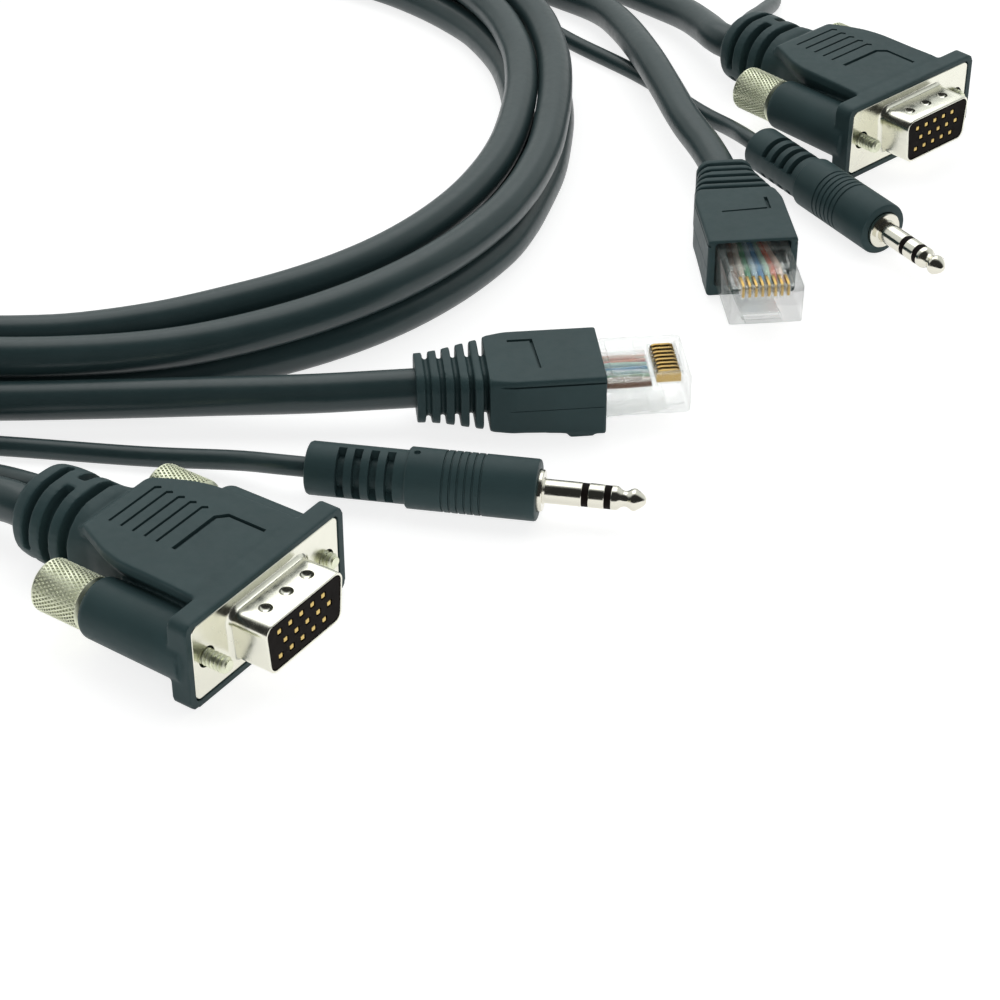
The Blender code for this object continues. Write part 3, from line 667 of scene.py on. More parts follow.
def row_pattern() -> Pattern:
    """A tree that sets copies of a piece in a straight row."""
    sockets = (
        ("Piece", "NodeSocketObject"),
        ("Count", "NodeSocketInt"),
        ("Start", "NodeSocketVector"),
        ("Pitch", "NodeSocketVector"),
        ("Finish", "NodeSocketMaterial"),
    )
    made = Pattern("row_of_pieces", sockets)
    inputs = {
        "Count": made.given["Count"],
        "Start Location": made.given["Start"],
        "Offset": made.given["Pitch"],
    }
    line = made.add("GeometryNodeMeshLine", {"mode": "OFFSET"}, inputs)["Mesh"]
    piece = made.add("GeometryNodeObjectInfo", None, {"Object": made.given["Piece"]})["Geometry"]
    placed = {"Points": line, "Instance": piece}
    made.close(made.add("GeometryNodeInstanceOnPoints", None, placed)["Instances"])
    return made


def knurl_pattern() -> Pattern:
    """A tree that sets pyramids round the X axis in staggered rings, as a rolled knurl has."""
    sockets = (
        ("Piece", "NodeSocketObject"),
        ("Per Ring", "NodeSocketInt"),
        ("Rings", "NodeSocketInt"),
        ("Start", "NodeSocketFloat"),
        ("Pitch", "NodeSocketFloat"),
        ("Finish", "NodeSocketMaterial"),
    )
    made = Pattern("rolled_knurl", sockets)
    per_ring, rings = made.given["Per Ring"], made.given["Rings"]
    total = made.math("MULTIPLY", per_ring, rings)
    line = made.add("GeometryNodeMeshLine", None, {"Count": total})["Mesh"]
    index = made.add("GeometryNodeInputIndex")[0]
    ring = made.math("FLOOR", made.math("DIVIDE", index, per_ring))
    half = made.math("MULTIPLY", made.math("MODULO", ring, 2.0), 0.5)
    place = made.math("ADD", made.math("MODULO", index, per_ring), half)
    angle = made.math("DIVIDE", made.math("MULTIPLY", place, 2 * math.pi), per_ring)
    along = made.math("MULTIPLY_ADD", ring, made.given["Pitch"], made.given["Start"])
    spot = made.add("ShaderNodeCombineXYZ", None, {"X": along})[0]
    turn = made.add("ShaderNodeCombineXYZ", None, {"X": angle})[0]
    points = made.add("GeometryNodeSetPosition", None, {"Geometry": line, "Position": spot})[0]
    piece = made.add("GeometryNodeObjectInfo", None, {"Object": made.given["Piece"]})["Geometry"]
    placed = {"Points": points, "Instance": piece, "Rotation": turn}
    made.close(made.add("GeometryNodeInstanceOnPoints", None, placed)["Instances"])
    return made


def sweep_pattern() -> Pattern:
    """A tree that makes a round wire along a route."""
    sockets = (
        ("Route", "NodeSocketObject"),
        ("Radius", "NodeSocketFloat"),
        ("Finish", "NodeSocketMaterial"),
    )
    made = Pattern("round_wire", sockets)
    route = made.add("GeometryNodeObjectInfo", None, {"Object": made.given["Route"]})["Geometry"]
    ring = made.add(
        "GeometryNodeCurvePrimitiveCircle",
        None,
        {"Resolution": 16, "Radius": made.given["Radius"]},
    )["Curve"]
    inputs = {"Curve": route, "Profile Curve": ring, "Fill Caps": True}
    made.close(made.add("GeometryNodeCurveToMesh", None, inputs)["Mesh"])
    return made


@dataclass
class Kit:
    """The finishes and patterns that all the connectors share."""

    finishes: dict[str, bpy.types.Material] = field(default_factory=dict)
    row: Pattern = field(default_factory=row_pattern)
    knurl: Pattern = field(default_factory=knurl_pattern)
    sweep: Pattern = field(default_factory=sweep_pattern)

    def finish(self, wanted: MouldedPlastic | PlatedMetal | ClearPlastic) -> bpy.types.Material:
        """The material of a finish, made once."""
        if wanted.name not in self.finishes:
            self.finishes[wanted.name] = wanted.build()
        return self.finishes[wanted.name]

    def copies(
        self,
        name: str,
        piece: bpy.types.Object,
        count: int,
        start: Sequence[float],
        pitch: Sequence[float],
        wanted: MouldedPlastic | PlatedMetal = SOFT_PVC,
    ) -> bpy.types.Object:
        """A straight row of copies of a piece, which is deleted.

        Args:
            name: the row's name.
            piece: what is copied, at the origin.
            count: how many.
            start: where the first one goes.
            pitch: the step from one to the next.
            wanted: their finish.

        Returns:
            The row as one object.
        """
        values = {
            "Piece": piece,
            "Count": count,
            "Start": Vector(start) * MM,
            "Pitch": Vector(pitch) * MM,
            "Finish": self.finish(wanted),
        }
        made = self.row.run(name, values)
        bpy.data.objects.remove(piece, do_unlink=True)
        return made


@dataclass
class Enrolment:
    """How one piece joins the model."""

    piece: bpy.types.Object
    body: str
    slot: str
    nodes: tuple[str, ...]
    smooth_below: float = 34.0


def enrol(
    entry: Enrolment, placement: Placement | None, material: bpy.types.Material | None
) -> None:
    """Put a piece in its place, dress it, hide the parts that it stands for and log their names.

    Args:
        entry: the piece with its body, slot, parts and smoothing angle.
        placement: the connector's place, or none for a piece that is already placed.
        material: the piece's only material, or none where it has its own.
    """
    piece = entry.piece
    if placement:
        piece.data.transform(placement.matrix())
    if material:
        piece.data.materials.clear()
        piece.data.materials.append(material)
        for polygon in piece.data.polygons:
            polygon.material_index = 0
    piece.data.shade_smooth()
    piece.data.set_sharp_from_angle(angle=math.radians(entry.smooth_below))
    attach(piece, entry.body)
    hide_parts(*entry.nodes)
    log.info("%s: %d faces for %s", piece.name, len(piece.data.polygons), entry.nodes)


def copy_of(piece: bpy.types.Object, name: str) -> bpy.types.Object:
    """A copy of a piece with its own mesh."""
    made = bpy.data.objects.new(name, piece.data.copy())
    bpy.context.scene.collection.objects.link(made)
    return made


@dataclass
class VideoConnector:
    """The 15-way video connector with its hood and two thumbscrews."""

    kit: Kit
    flange_width: float = 32.6
    flange_height: float = 13.8
    flange_depth: float = 3.2
    plate_width: float = 30.2
    plate_height: float = 11.7
    plate_thickness: float = 0.8
    shell_width: float = 16.3
    shell_height: float = 8.1
    shell_reach: float = 6.2
    shell_wall: float = 0.4
    shell_slope: float = 5.0
    shell_corner: float = 1.6
    dimple_radius: float = 1.05
    dimple_depth: float = 0.7
    screw_spacing: float = 25.0
    screw_diameter: float = 2.4
    screw_reach: float = 3.6
    thread_pitch: float = 0.64
    tunnel_diameter: float = 8.8
    tunnel_back: float = 18.6
    knob_diameter: float = 7.7
    knob_length: float = 8.5
    contact_pitch: float = 2.29
    row_pitch: float = 1.98
    boot_back: float = 40.0
    plateau_top: float = 13.9
    drawn_back: float = 2.2
    slot_core: tuple[float, float] = (10.0, 9.0)
    slot_reach: tuple[float, float] = (20.0, 18.0)

    @property
    def axis(self) -> float:
        """Height of the connector's axis."""
        return self.flange_height / 2

    def body_keys(self) -> list[tuple[float, float, float, float, float]]:
        """Place, width, height, corner radius and middle height along the hood."""
        z = self.axis
        return [
            (-self.boot_back, 11.8, 10.8, 5.2, z),
            (-self.boot_back + 0.9, 13.4, 12.4, 5.9, z),
            (-36.0, 14.2, 13.0, 6.2, z),
            (-29.6, 14.0, 13.0, 6.0, z),
            (-27.6, 13.6, 12.8, 5.0, z),
            (-25.6, 13.2, 11.6, 3.0, z - 0.3),
            (-23.0, 14.2, 11.0, 2.0, z - 0.6),
            (-18.6, 16.2, 11.0, 1.5, z - 0.6),
            (-10.0, 18.4, 11.6, 1.3, z - 0.4),
            (-1.8, 20.4, 12.0, 1.3, z - 0.3),
        ]

    def plateau(self) -> bpy.types.Object:
        """The flat top of the hood, which overhangs its sides a little."""
        top, lip, foot = self.plateau_top, 1.5, 4.0
        keys = (
            (-27.6, 5.6, 2.0),
            (-26.2, 6.5, 0.7),
            (-25.2, 7.0, 0.1),
            (-22.0, 8.5, 0.0),
            (-19.0, 9.7, 0.0),
            (-15.5, 10.3, 0.0),
            (-9.7, 10.4, 0.0),
            (-4.5, 10.6, 0.0),
            (-1.8, 10.7, 0.25),
        )
        sections = []
        for x, half, drop in smooth_keys(keys, 0.6):
            low = half - 1.7
            corners = [
                (-low, top - foot),
                (low, top - foot),
                (half, top - lip - drop),
                (half, top - drop),
                (-half, top - drop),
                (-half, top - lip - drop),
            ]
            sections.append((x, round_polygon(corners, 0.35, 4)))
        return Shape().loft(sections).done("plateau")

    def dee(self, width: float, height: float, radius: float) -> Outline:
        """The D outline of the shell, wide side up."""
        low = width / 2 - height * math.tan(math.radians(self.shell_slope))
        z = self.axis
        corners = [
            (-low, z - height / 2),
            (low, z - height / 2),
            (width / 2, z + height / 2),
            (-width / 2, z + height / 2),
        ]
        return round_polygon(corners, radius, 9)

    def slots(self) -> bpy.types.Object:
        """The cutters of the strain relief's slots, each part of the way round."""
        cuts = (
            (-29.9, (48, 214), 1.6),
            (-33.3, (94, 224), 1.6),
            (-33.3, (-42, 78), 1.6),
            (-36.6, (62, 196), 1.3),
            (-36.6, (212, 250), 1.3),
            (-36.6, (-70, 44), 1.3),
        )
        shape = Shape()
        for x, angles, width in cuts:
            ring = part_ring(angles, self.slot_core, self.slot_reach, self.axis)
            shape.loft([(x - width / 2, ring), (x + width / 2, ring)])
        return shape.done("relief_slots")

    def grooves(self) -> bpy.types.Object:
        """The cutters of the five grip grooves and of the angled groove before them."""
        width, depth, pitch, first = 0.42, 0.45, 2.05, -23.2
        near, far = -4.2, 5.4
        low, high = self.plateau_top - depth, self.plateau_top + 1.0
        grip = Shape()
        hook = [
            (-width / 2, near),
            (width / 2, near),
            (width / 2, far - 0.5),
            (width / 2 + 0.7, far),
            (width / 2 + 0.3, far + 0.4),
            (-width / 2, far - 0.1),
        ]
        grip.prism(hook, low, high, "Z")
        row = self.kit.copies("grips", grip.done("grip"), 5, (first, 0.0, 0.0), (pitch, 0.0, 0.0))
        x, wide = -12.1, 0.7
        angle = [
            (x - wide / 2, near),
            (x + wide / 2, near),
            (x + wide / 2, far - 1.2),
            (x + wide / 2 + 1.2, far),
            (x + 7.4, far),
            (x + 7.4, far + 0.6),
            (x + 1.0, far + 0.6),
            (x - wide / 2, far - 0.9),
        ]
        angled = Shape().prism(angle, low - 0.15, high, "Z").done("angled")
        return join("grooves", [row, angled])

    def hood(self) -> bpy.types.Object:
        """The moulded hood: body, flange, tunnels and slotted relief, with soft edges."""
        z = self.axis
        rows = smooth_keys(self.body_keys(), 0.6)
        body = Shape().loft([(x, box_outline(w, h, r, mid)) for x, w, h, r, mid in rows])
        hood = combine(body.done("hood"), self.plateau(), Operation.UNION)
        flange = box_outline(self.flange_width, self.flange_height, 1.4, z)
        plate = Shape().loft([(-self.flange_depth, flange), (0.0, flange)]).done("flange")
        combine(hood, plate, Operation.UNION)
        for side in (-1, 1):
            y = side * self.screw_spacing / 2
            rows = (
                (-self.tunnel_back, -1.0),
                (-self.tunnel_back + 0.25, -0.4),
                (-self.tunnel_back + 0.7, 0.0),
                (-1.5, 0.3),
            )
            ring = [(x, circle(self.tunnel_diameter + more, 48, y, z)) for x, more in rows]
            combine(hood, Shape().loft(ring).done("tunnel"), Operation.UNION)
        combine(hood, self.slots(), Operation.CUT)
        soften(hood)
        cuts = Shape()
        recess = box_outline(self.plate_width + 0.3, self.plate_height + 0.3, 1.0, z)
        cuts.loft([(-self.plate_thickness - 0.5, recess), (1.0, recess)])
        pocket = self.dee(self.shell_width, self.shell_height, self.shell_corner)
        cuts.loft([(-3.0, pocket), (-self.plate_thickness, pocket)])
        for side in (-1, 1):
            bore = circle(self.screw_diameter + 0.6, 32, side * self.screw_spacing / 2, z)
            cuts.loft([(-self.tunnel_back - 1.0, bore), (-1.0, bore)])
        combine(hood, cuts.done("recess"), Operation.CUT)
        return combine(hood, self.grooves(), Operation.CUT)

    def shell(self) -> bpy.types.Object:
        """The drawn nickel plate and D shell in one piece, with its dimples."""
        z = self.axis
        front, back, edge = -0.1, -0.1 - self.plate_thickness, 0.14
        width, height, wall = self.shell_width, self.shell_height, self.shell_wall
        corner = self.shell_corner
        sections = []
        for x, inset in ((back, 0.0), (front - edge, 0.0), (front, edge)):
            wide, high = self.plate_width - 2 * inset, self.plate_height - 2 * inset
            sections.append((x, box_outline(wide, high, 1.0 - inset, z, steps=9)))
        flare = 0.85
        for step in range(7):
            turn = math.pi / 2 * step / 6
            grow = 2 * flare * (1 - math.sin(turn))
            x = front + flare * (1 - math.cos(turn))
            sections.append((x, self.dee(width + grow, height + grow, corner + grow / 2)))
        rim = self.shell_reach
        steps = (
            (rim - 0.2, 0.0),
            (rim - 0.06, 0.06),
            (rim, 0.18),
            (rim - 0.06, wall - 0.05),
            (rim - 0.2, wall),
            (back, wall),
        )
        for x, inset in steps:
            outline = self.dee(width - 2 * inset, height - 2 * inset, corner - 0.8 * inset)
            sections.append((x, outline))
        shell = Shape().loft(sections, closed=True).done("shell")
        top = z + height / 2
        sunk = self.dimple_balls(0.3).done("sunk")
        lid = Shape().box((0.0, -9.0, top - 0.1), (6.4, 9.0, top + 4.0)).done("lid")
        combine(shell, combine(sunk, lid, Operation.CUT), Operation.UNION)
        cuts = self.dimple_balls(0.0)
        for side in (-1, 1):
            hole = circle(self.screw_diameter + 0.7, 32, side * self.screw_spacing / 2, z)
            cuts.loft([(back - 1.0, hole), (front + 1.0, hole)])
        radius, sink = 1.45, 0.375  # the shallower pair underneath
        for y in (-3.2, 3.2):
            cuts.ball((3.2, y, z - height / 2 - radius + sink), radius)
        return combine(shell, cuts.done("dimples"), Operation.CUT)

    def dimple_spots(self) -> list[tuple[float, float, float]]:
        """Centres of the three round dimples in the top of the shell."""
        rise = self.axis + self.shell_height / 2 + self.dimple_radius - self.dimple_depth
        return [(3.2, y, rise) for y in (-4.3, 0.0, 4.3)]

    def dimple_balls(self, more: float) -> Shape:
        """A ball at each dimple, larger than its hollow by this much."""
        balls = Shape()
        for spot in self.dimple_spots():
            balls.ball(spot, self.dimple_radius + more)
        return balls

    def contact_rows(self) -> list[tuple[float, float]]:
        """The first contact of each row, as (y, z)."""
        rows = []
        for row in (1, 0, -1):
            shift = -self.contact_pitch / 4 if row else self.contact_pitch / 4
            rows.append((-2 * self.contact_pitch + shift, self.axis + row * self.row_pitch))
        return rows

    def insulator(self) -> bpy.types.Object:
        """The black contact block, with a square hole for each contact."""
        width = self.shell_width - 2 * self.shell_wall - 0.12
        height = self.shell_height - 2 * self.shell_wall - 0.12
        front = self.shell_reach - 0.12
        block = Shape().loft(
            [
                (-1.2, self.dee(width, height, 1.2)),
                (front - 0.15, self.dee(width, height, 1.2)),
                (front, self.dee(width - 0.3, height - 0.3, 1.1)),
            ]
        )
        made = block.done("insulator")
        for y, z in self.contact_rows():
            hole = Shape().box((front - 1.6, -0.5, -0.5), (front + 1.0, 0.5, 0.5)).done("hole")
            row = self.kit.copies("holes", hole, 5, (0.0, y, z), (0.0, self.contact_pitch, 0.0))
            combine(made, row, Operation.CUT)
        return combine(made, self.dimple_balls(0.38).done("hollows"), Operation.CUT)

    def contacts(self) -> bpy.types.Object:
        """The gilt contacts, in three rows of five."""
        tip = self.shell_reach - 0.2
        rows = []
        for y, z in self.contact_rows():
            pin = Shape().loft(
                [
                    (tip - 1.4, box_outline(0.78, 0.78, 0.1, steps=2)),
                    (tip - 0.12, box_outline(0.78, 0.78, 0.1, steps=2)),
                    (tip, box_outline(0.6, 0.6, 0.08, steps=2)),
                ]
            )
            piece = pin.done("pin")
            pitch = (0.0, self.contact_pitch, 0.0)
            rows.append(self.kit.copies("pins", piece, 5, (0.0, y, z), pitch, GILT))
        return join("contacts", rows)

    def thumbscrew(self) -> bpy.types.Object:
        """A thumbscrew on the X axis, with its knurled knob, its shank and a helical thread."""
        front = -self.tunnel_back - 0.3
        back = front - self.knob_length
        core = self.knob_diameter - 0.3
        rows = (
            (back, core - 1.2),
            (back + 0.15, core - 0.6),
            (back + 0.5, core + 0.1),
            (back + 0.75, core - 0.1),
            (front - 0.75, core - 0.1),
            (front - 0.5, core + 0.1),
            (front - 0.15, core - 0.5),
            (front, core - 1.0),
        )
        knob = Shape().loft([(x, circle(diameter, 52)) for x, diameter in rows]).done("knob")
        count, rings = 38, 14
        pitch = (self.knob_length - 1.7) / (rings - 1)
        base, top = core / 2 - 0.2, self.knob_diameter / 2
        half = math.pi * core / count / 2 * 1.02
        tooth = Shape()
        rim = [(-pitch, 0.0), (0.0, -half), (pitch, 0.0), (0.0, half)]
        foot = [tooth.mesh.verts.new((x * MM, y * MM, base * MM)) for x, y in rim]
        peak = [tooth.mesh.verts.new((x * 0.25 * MM, y * 0.25 * MM, top * MM)) for x, y in rim]
        for place in range(4):
            after = (place + 1) % 4
            tooth.mesh.faces.new((foot[place], foot[after], peak[after], peak[place]))
        tooth.mesh.faces.new(foot)
        tooth.mesh.faces.new(peak)
        bmesh.ops.recalc_face_normals(tooth.mesh, faces=tooth.mesh.faces)
        piece = tooth.done("tooth")
        values = {
            "Piece": piece,
            "Per Ring": count,
            "Rings": rings,
            "Start": (back + 0.85) * MM,
            "Pitch": pitch * MM,
            "Finish": self.kit.finish(KNURLED_NICKEL),
        }
        knurl = self.kit.knurl.run("knurl", values)
        bpy.data.objects.remove(piece, do_unlink=True)
        return join("thumbscrew", [knob, knurl, self.thread(front)])

    def thread(self, start: float) -> bpy.types.Object:
        """The shank with its thread, from inside the knob to the tip."""
        sides, root = 40, self.screw_diameter / 2 - 0.32
        rows = [(start - 1.0, circle(self.screw_diameter, sides))]
        rows.append((-1.0, circle(self.screw_diameter, sides)))
        x = -0.9
        while x < self.screw_reach:
            taper = min(1.0, (self.screw_reach - x) / 0.5)
            ring = []
            for side in range(sides):
                angle = 2 * math.pi * side / sides
                phase = (x / self.thread_pitch - side / sides) % 1.0
                crest = max(0.0, min(1.0, 1.5 - 3.2 * abs(phase - 0.5)))
                radius = (root + 0.32 * crest) * (0.72 + 0.28 * taper)
                ring.append((radius * math.cos(angle), radius * math.sin(angle)))
            rows.append((x, ring))
            x += 0.05
        return Shape().loft(rows).done("thread")

    def build(self) -> None:
        """Make each piece once, and set a copy at each end of the cable."""
        hood, shell = self.hood(), self.shell()
        insulator, contacts, screw = self.insulator(), self.contacts(), self.thumbscrew()
        for end in End:
            label, place = end.value, PLACES[end]["video"]
            pieces = (
                (hood, "hood_moulding", "moulded_plastic", "video_hood", SOFT_PVC, 42.0),
                (shell, "shell_pressing", "nickel", "video_shell", DRAWN_NICKEL, 40.0),
                (insulator, "contact_block", "contact_block", "video_insulator", BLACK_NYLON, 30.0),
                (contacts, "gilt_pins", "gilt_contact", "video_contacts", GILT, 30.0),
            )
            for piece, name, slot, node, finish, angle in pieces:
                made = copy_of(piece, f"{label}_{name}")
                entry = Enrolment(made, "cable", slot, (f"{label}_{node}",), angle)
                enrol(entry, place, self.kit.finish(finish))
            for side, sign in (("left", 1), ("right", -1)):
                made = copy_of(screw, f"{label}_{side}_knob_screw")
                shift = Vector((0.0, sign * self.screw_spacing / 2, self.axis)) * MM
                if side == "left":
                    shift.x = -self.drawn_back * MM
                made.data.transform(Matrix.Translation(shift))
                node = f"{label}_video_{side}_thumbscrew"
                entry = Enrolment(made, f"{label}_{side}_screw", "knob_nickel", (node,), 30.0)
                enrol(entry, place, self.kit.finish(KNURLED_NICKEL))
        for piece in (hood, shell, insulator, contacts, screw):
            bpy.data.objects.remove(piece, do_unlink=True)


@dataclass
class NetworkConnector:
    """The 8-way network connector with its ribbed boot."""

    kit: Kit
    plug_width: float = 11.68
    plug_height: float = 6.6
    plug_reach: float = 12.8
    plug_bottom: float = 2.5
    wire_pitch: float = 1.02
    latch_width: float = 6.0
    boot_width: float = 14.5
    boot_height: float = 9.1
    boot_bottom: float = 1.3
    smooth_back: float = 30.0
    boot_back: float = 40.5
    ribs: int = 5

    @property
    def axis(self) -> float:
        """Height of the boot's axis."""
        return self.boot_bottom + self.boot_height / 2

    def boot(self) -> bpy.types.Object:
        """The moulded boot: ribbed relief, tapered body, open mouth and latch hump."""
        z = self.axis
        wide, high = self.boot_width, self.boot_height
        keys = [
            (-self.boot_back, 9.4, 8.4, 2.4, z),
            (-self.smooth_back - 0.4, 13.2, high - 0.1, 1.6, z),
            (-self.smooth_back + 0.6, 13.4, high, 0.7, z),
            (-self.smooth_back + 4.0, wide, high, 0.5, z),
            (-self.plug_reach, wide, high + 0.9, 0.5, z - 0.45),
        ]
        rows = smooth_keys(keys, 0.6)
        boot = Shape().loft([(x, box_outline(w, h, r, mid)) for x, w, h, r, mid in rows])
        made = boot.done("boot")
        hump = [(-19.2, 2.2), (-18.4, 0.3), (-17.8, 0.05)]
        hump += [(-15.0, 0.05), (-14.4, 0.3), (-13.6, 2.2)]
        half = wide / 2 - 0.2
        combine(made, Shape().prism(hump, -half, half).done("hump"), Operation.UNION)
        pitch = (self.boot_back - self.smooth_back) / self.ribs
        rib = box_outline(30.0, 30.0, 1.0, z)
        core = box_outline(8.0, 6.9, 2.4, z)
        gap = Shape().loft([(0.0, rib), (0.0, core), (0.85, core), (0.85, rib)], closed=True)
        start = (-self.boot_back + pitch - 0.85, 0.0, 0.0)
        gaps = self.kit.copies("gaps", gap.done("gap"), self.ribs, start, (pitch, 0.0, 0.0))
        combine(made, gaps, Operation.CUT)
        soften(made)
        top = self.boot_bottom + self.boot_height
        cuts = Shape()
        face, middle = -self.plug_reach, self.plug_bottom + self.plug_height / 2
        mouth = box_outline(self.plug_width + 0.5, self.plug_height + 0.5, 0.5, middle)
        cuts.loft([(face - 8.6, mouth), (face + 1.0, mouth)])
        upper = box_outline(self.plug_width + 0.5, 3.0, 0.5, middle + 2.7)
        cuts.loft([(face - 2.2, upper), (face + 1.0, upper)])
        cuts.box((-26.4, 4.0, top - 0.5), (-22.9, 4.6, top + 1.0))
        bent = [(-23.1, 4.6), (-22.6, 4.6), (-22.1, -3.5), (-22.5, -3.5)]
        cuts.prism(bent, top - 0.5, top + 1.0, "Z")
        for side in (-1, 1):
            for height, thick, sink in ((top - 1.1, 0.3, 0.4), (z - 0.6, 0.12, 0.12)):
                edge = side * wide / 2
                near, far = sorted((edge - side * sink, edge + side * 1.0))
                x = -self.smooth_back + 1.4
                cuts.box((x, near, height), (face + 1.0, far, height + thick))
        return combine(made, cuts.done("boot_cuts"), Operation.CUT)

    def plug(self) -> bpy.types.Object:
        """The clear plug: chamfered nose, contact slots, core channel, strap and latch."""
        top = self.plug_bottom + self.plug_height
        middle = self.plug_bottom + self.plug_height / 2
        back = -self.plug_reach - 7.5
        wide, high = self.plug_width, self.plug_height
        body = Shape().loft(
            [
                (back, box_outline(wide, high, 0.3, middle, steps=3)),
                (-0.6, box_outline(wide, high, 0.3, middle, steps=3)),
                (-0.15, box_outline(wide - 0.3, high - 0.4, 0.3, middle, steps=3)),
                (0.0, box_outline(wide - 0.7, high - 0.9, 0.3, middle, steps=3)),
            ]
        )
        plug = body.done("plug")
        latch = [
            (-0.9, 3.0),
            (-0.6, 2.4),
            (-1.4, 2.0),
            (-self.plug_reach - 0.5, 0.35),
            (-self.plug_reach - 0.5, 1.15),
            (-3.4, 2.35),
            (-3.0, 3.0),
        ]
        half = self.latch_width / 2
        lever = Shape().prism(latch, -half, half).done("latch")
        lug = [(-5.6, 1.2), (-5.2, 1.0), (-3.0, 1.6), (-3.0, 2.4), (-5.6, 2.0)]
        combine(lever, Shape().prism(lug, -half - 0.1, half + 0.1).done("lug"), Operation.UNION)
        combine(plug, lever, Operation.UNION)
        cuts = Shape()
        span = 4.2 * self.wire_pitch
        cuts.box((-5.0, -span, top - 0.55), (-1.1, span, top + 1.0))
        cuts.box((-11.6, -span - 0.5, top - 1.0), (-7.4, span + 0.5, top + 1.0))
        cuts.box((back - 1.0, -span - 0.1, top - 3.3), (-5.6, span + 0.1, top - 1.7))
        for place in range(8):
            y = (place - 3.5) * self.wire_pitch
            cuts.box((-5.4, y - 0.3, top - 2.6), (-1.1, y + 0.3, top))
        combine(plug, cuts.done("plug_cuts"), Operation.CUT)
        bevel = plug.modifiers.new("edges", "BEVEL")
        bevel.width = 0.09 * MM
        bevel.segments = 2
        bevel.limit_method = "ANGLE"
        return settle_modifiers(plug)

    def blade(self) -> bpy.types.Object:
        """One stamped contact blade, with its rounded top edge."""
        top = self.plug_bottom + self.plug_height
        blade = [
            (-5.0, top - 2.3),
            (-5.0, top - 0.9),
            (-4.7, top - 0.45),
            (-4.2, top - 0.28),
            (-2.0, top - 0.28),
            (-1.5, top - 0.5),
            (-1.3, top - 1.0),
            (-1.3, top - 2.3),
        ]
        return Shape().prism(blade, -0.2, 0.2).done("blade")

    def cores(self) -> bpy.types.Object:
        """The eight coloured cores, fanned from the boot into the plug's channel."""
        top = self.plug_bottom + self.plug_height
        made = []
        for place, (name, colour) in enumerate(CORE_COLOURS):
            y = (place - 3.5) * self.wire_pitch
            rise = 0.25 if place % 2 else -0.2
            route = [
                (-self.plug_reach - 6.5, y * 0.8, top - 2.9),
                (-self.plug_reach - 2.0, y * 0.9, top - 2.6),
                (-self.plug_reach + 1.5, y, top - 2.5 + rise),
                (-9.0, y, top - 2.5 + rise / 2),
                (-5.7, y, top - 2.5),
            ]
            curve = bpy.data.curves.new(name, "CURVE")
            curve.dimensions = "3D"
            spline = curve.splines.new("NURBS")
            spline.points.add(len(route) - 1)
            spline.use_endpoint_u = True
            for knot, point in zip(spline.points, route):
                knot.co = (*(Vector(point) * MM), 1.0)
            guide = bpy.data.objects.new(name, curve)
            bpy.context.scene.collection.objects.link(guide)
            finish = MouldedPlastic(name, colour, colour, 0.4, 0.3, 0.002)
            values = {"Route": guide, "Radius": 0.46 * MM, "Finish": self.kit.finish(finish)}
            made.append(self.kit.sweep.run(name + "_wire", values))
            bpy.data.objects.remove(guide, do_unlink=True)
        return join("cores", made)

    def build(self) -> None:
        """Make each piece once, and set a copy at each end of the cable."""
        boot, plug, blade, cores = self.boot(), self.plug(), self.blade(), self.cores()
        for end in End:
            label, place = end.value, PLACES[end]["network"]
            pieces = (
                (boot, "boot_moulding", "moulded_plastic", "network_boot", SOFT_PVC, 42.0),
                (plug, "clear_plug", "clear_plastic", "network_plug", POLYCARBONATE, 30.0),
                (cores, "coloured_cores", "wire_insulation", "network_wires", None, 50.0),
            )
            for piece, name, slot, node, finish, angle in pieces:
                made = copy_of(piece, f"{label}_{name}")
                entry = Enrolment(made, "cable", slot, (f"{label}_{node}",), angle)
                enrol(entry, place, self.kit.finish(finish) if finish else None)
            row = self.kit.copies(
                f"{label}_contact_blades",
                copy_of(blade, "blade_copy"),
                8,
                (0.0, -3.5 * self.wire_pitch, 0.0),
                (0.0, self.wire_pitch, 0.0),
                STAMPED_GILT,
            )
            nodes = tuple(f"{label}_network_contact_{place + 1}" for place in range(8))
            entry = Enrolment(row, "cable", "brass_contact", nodes, 30.0)
            enrol(entry, place, self.kit.finish(STAMPED_GILT))
        for piece in (boot, plug, blade, cores):
            bpy.data.objects.remove(piece, do_unlink=True)


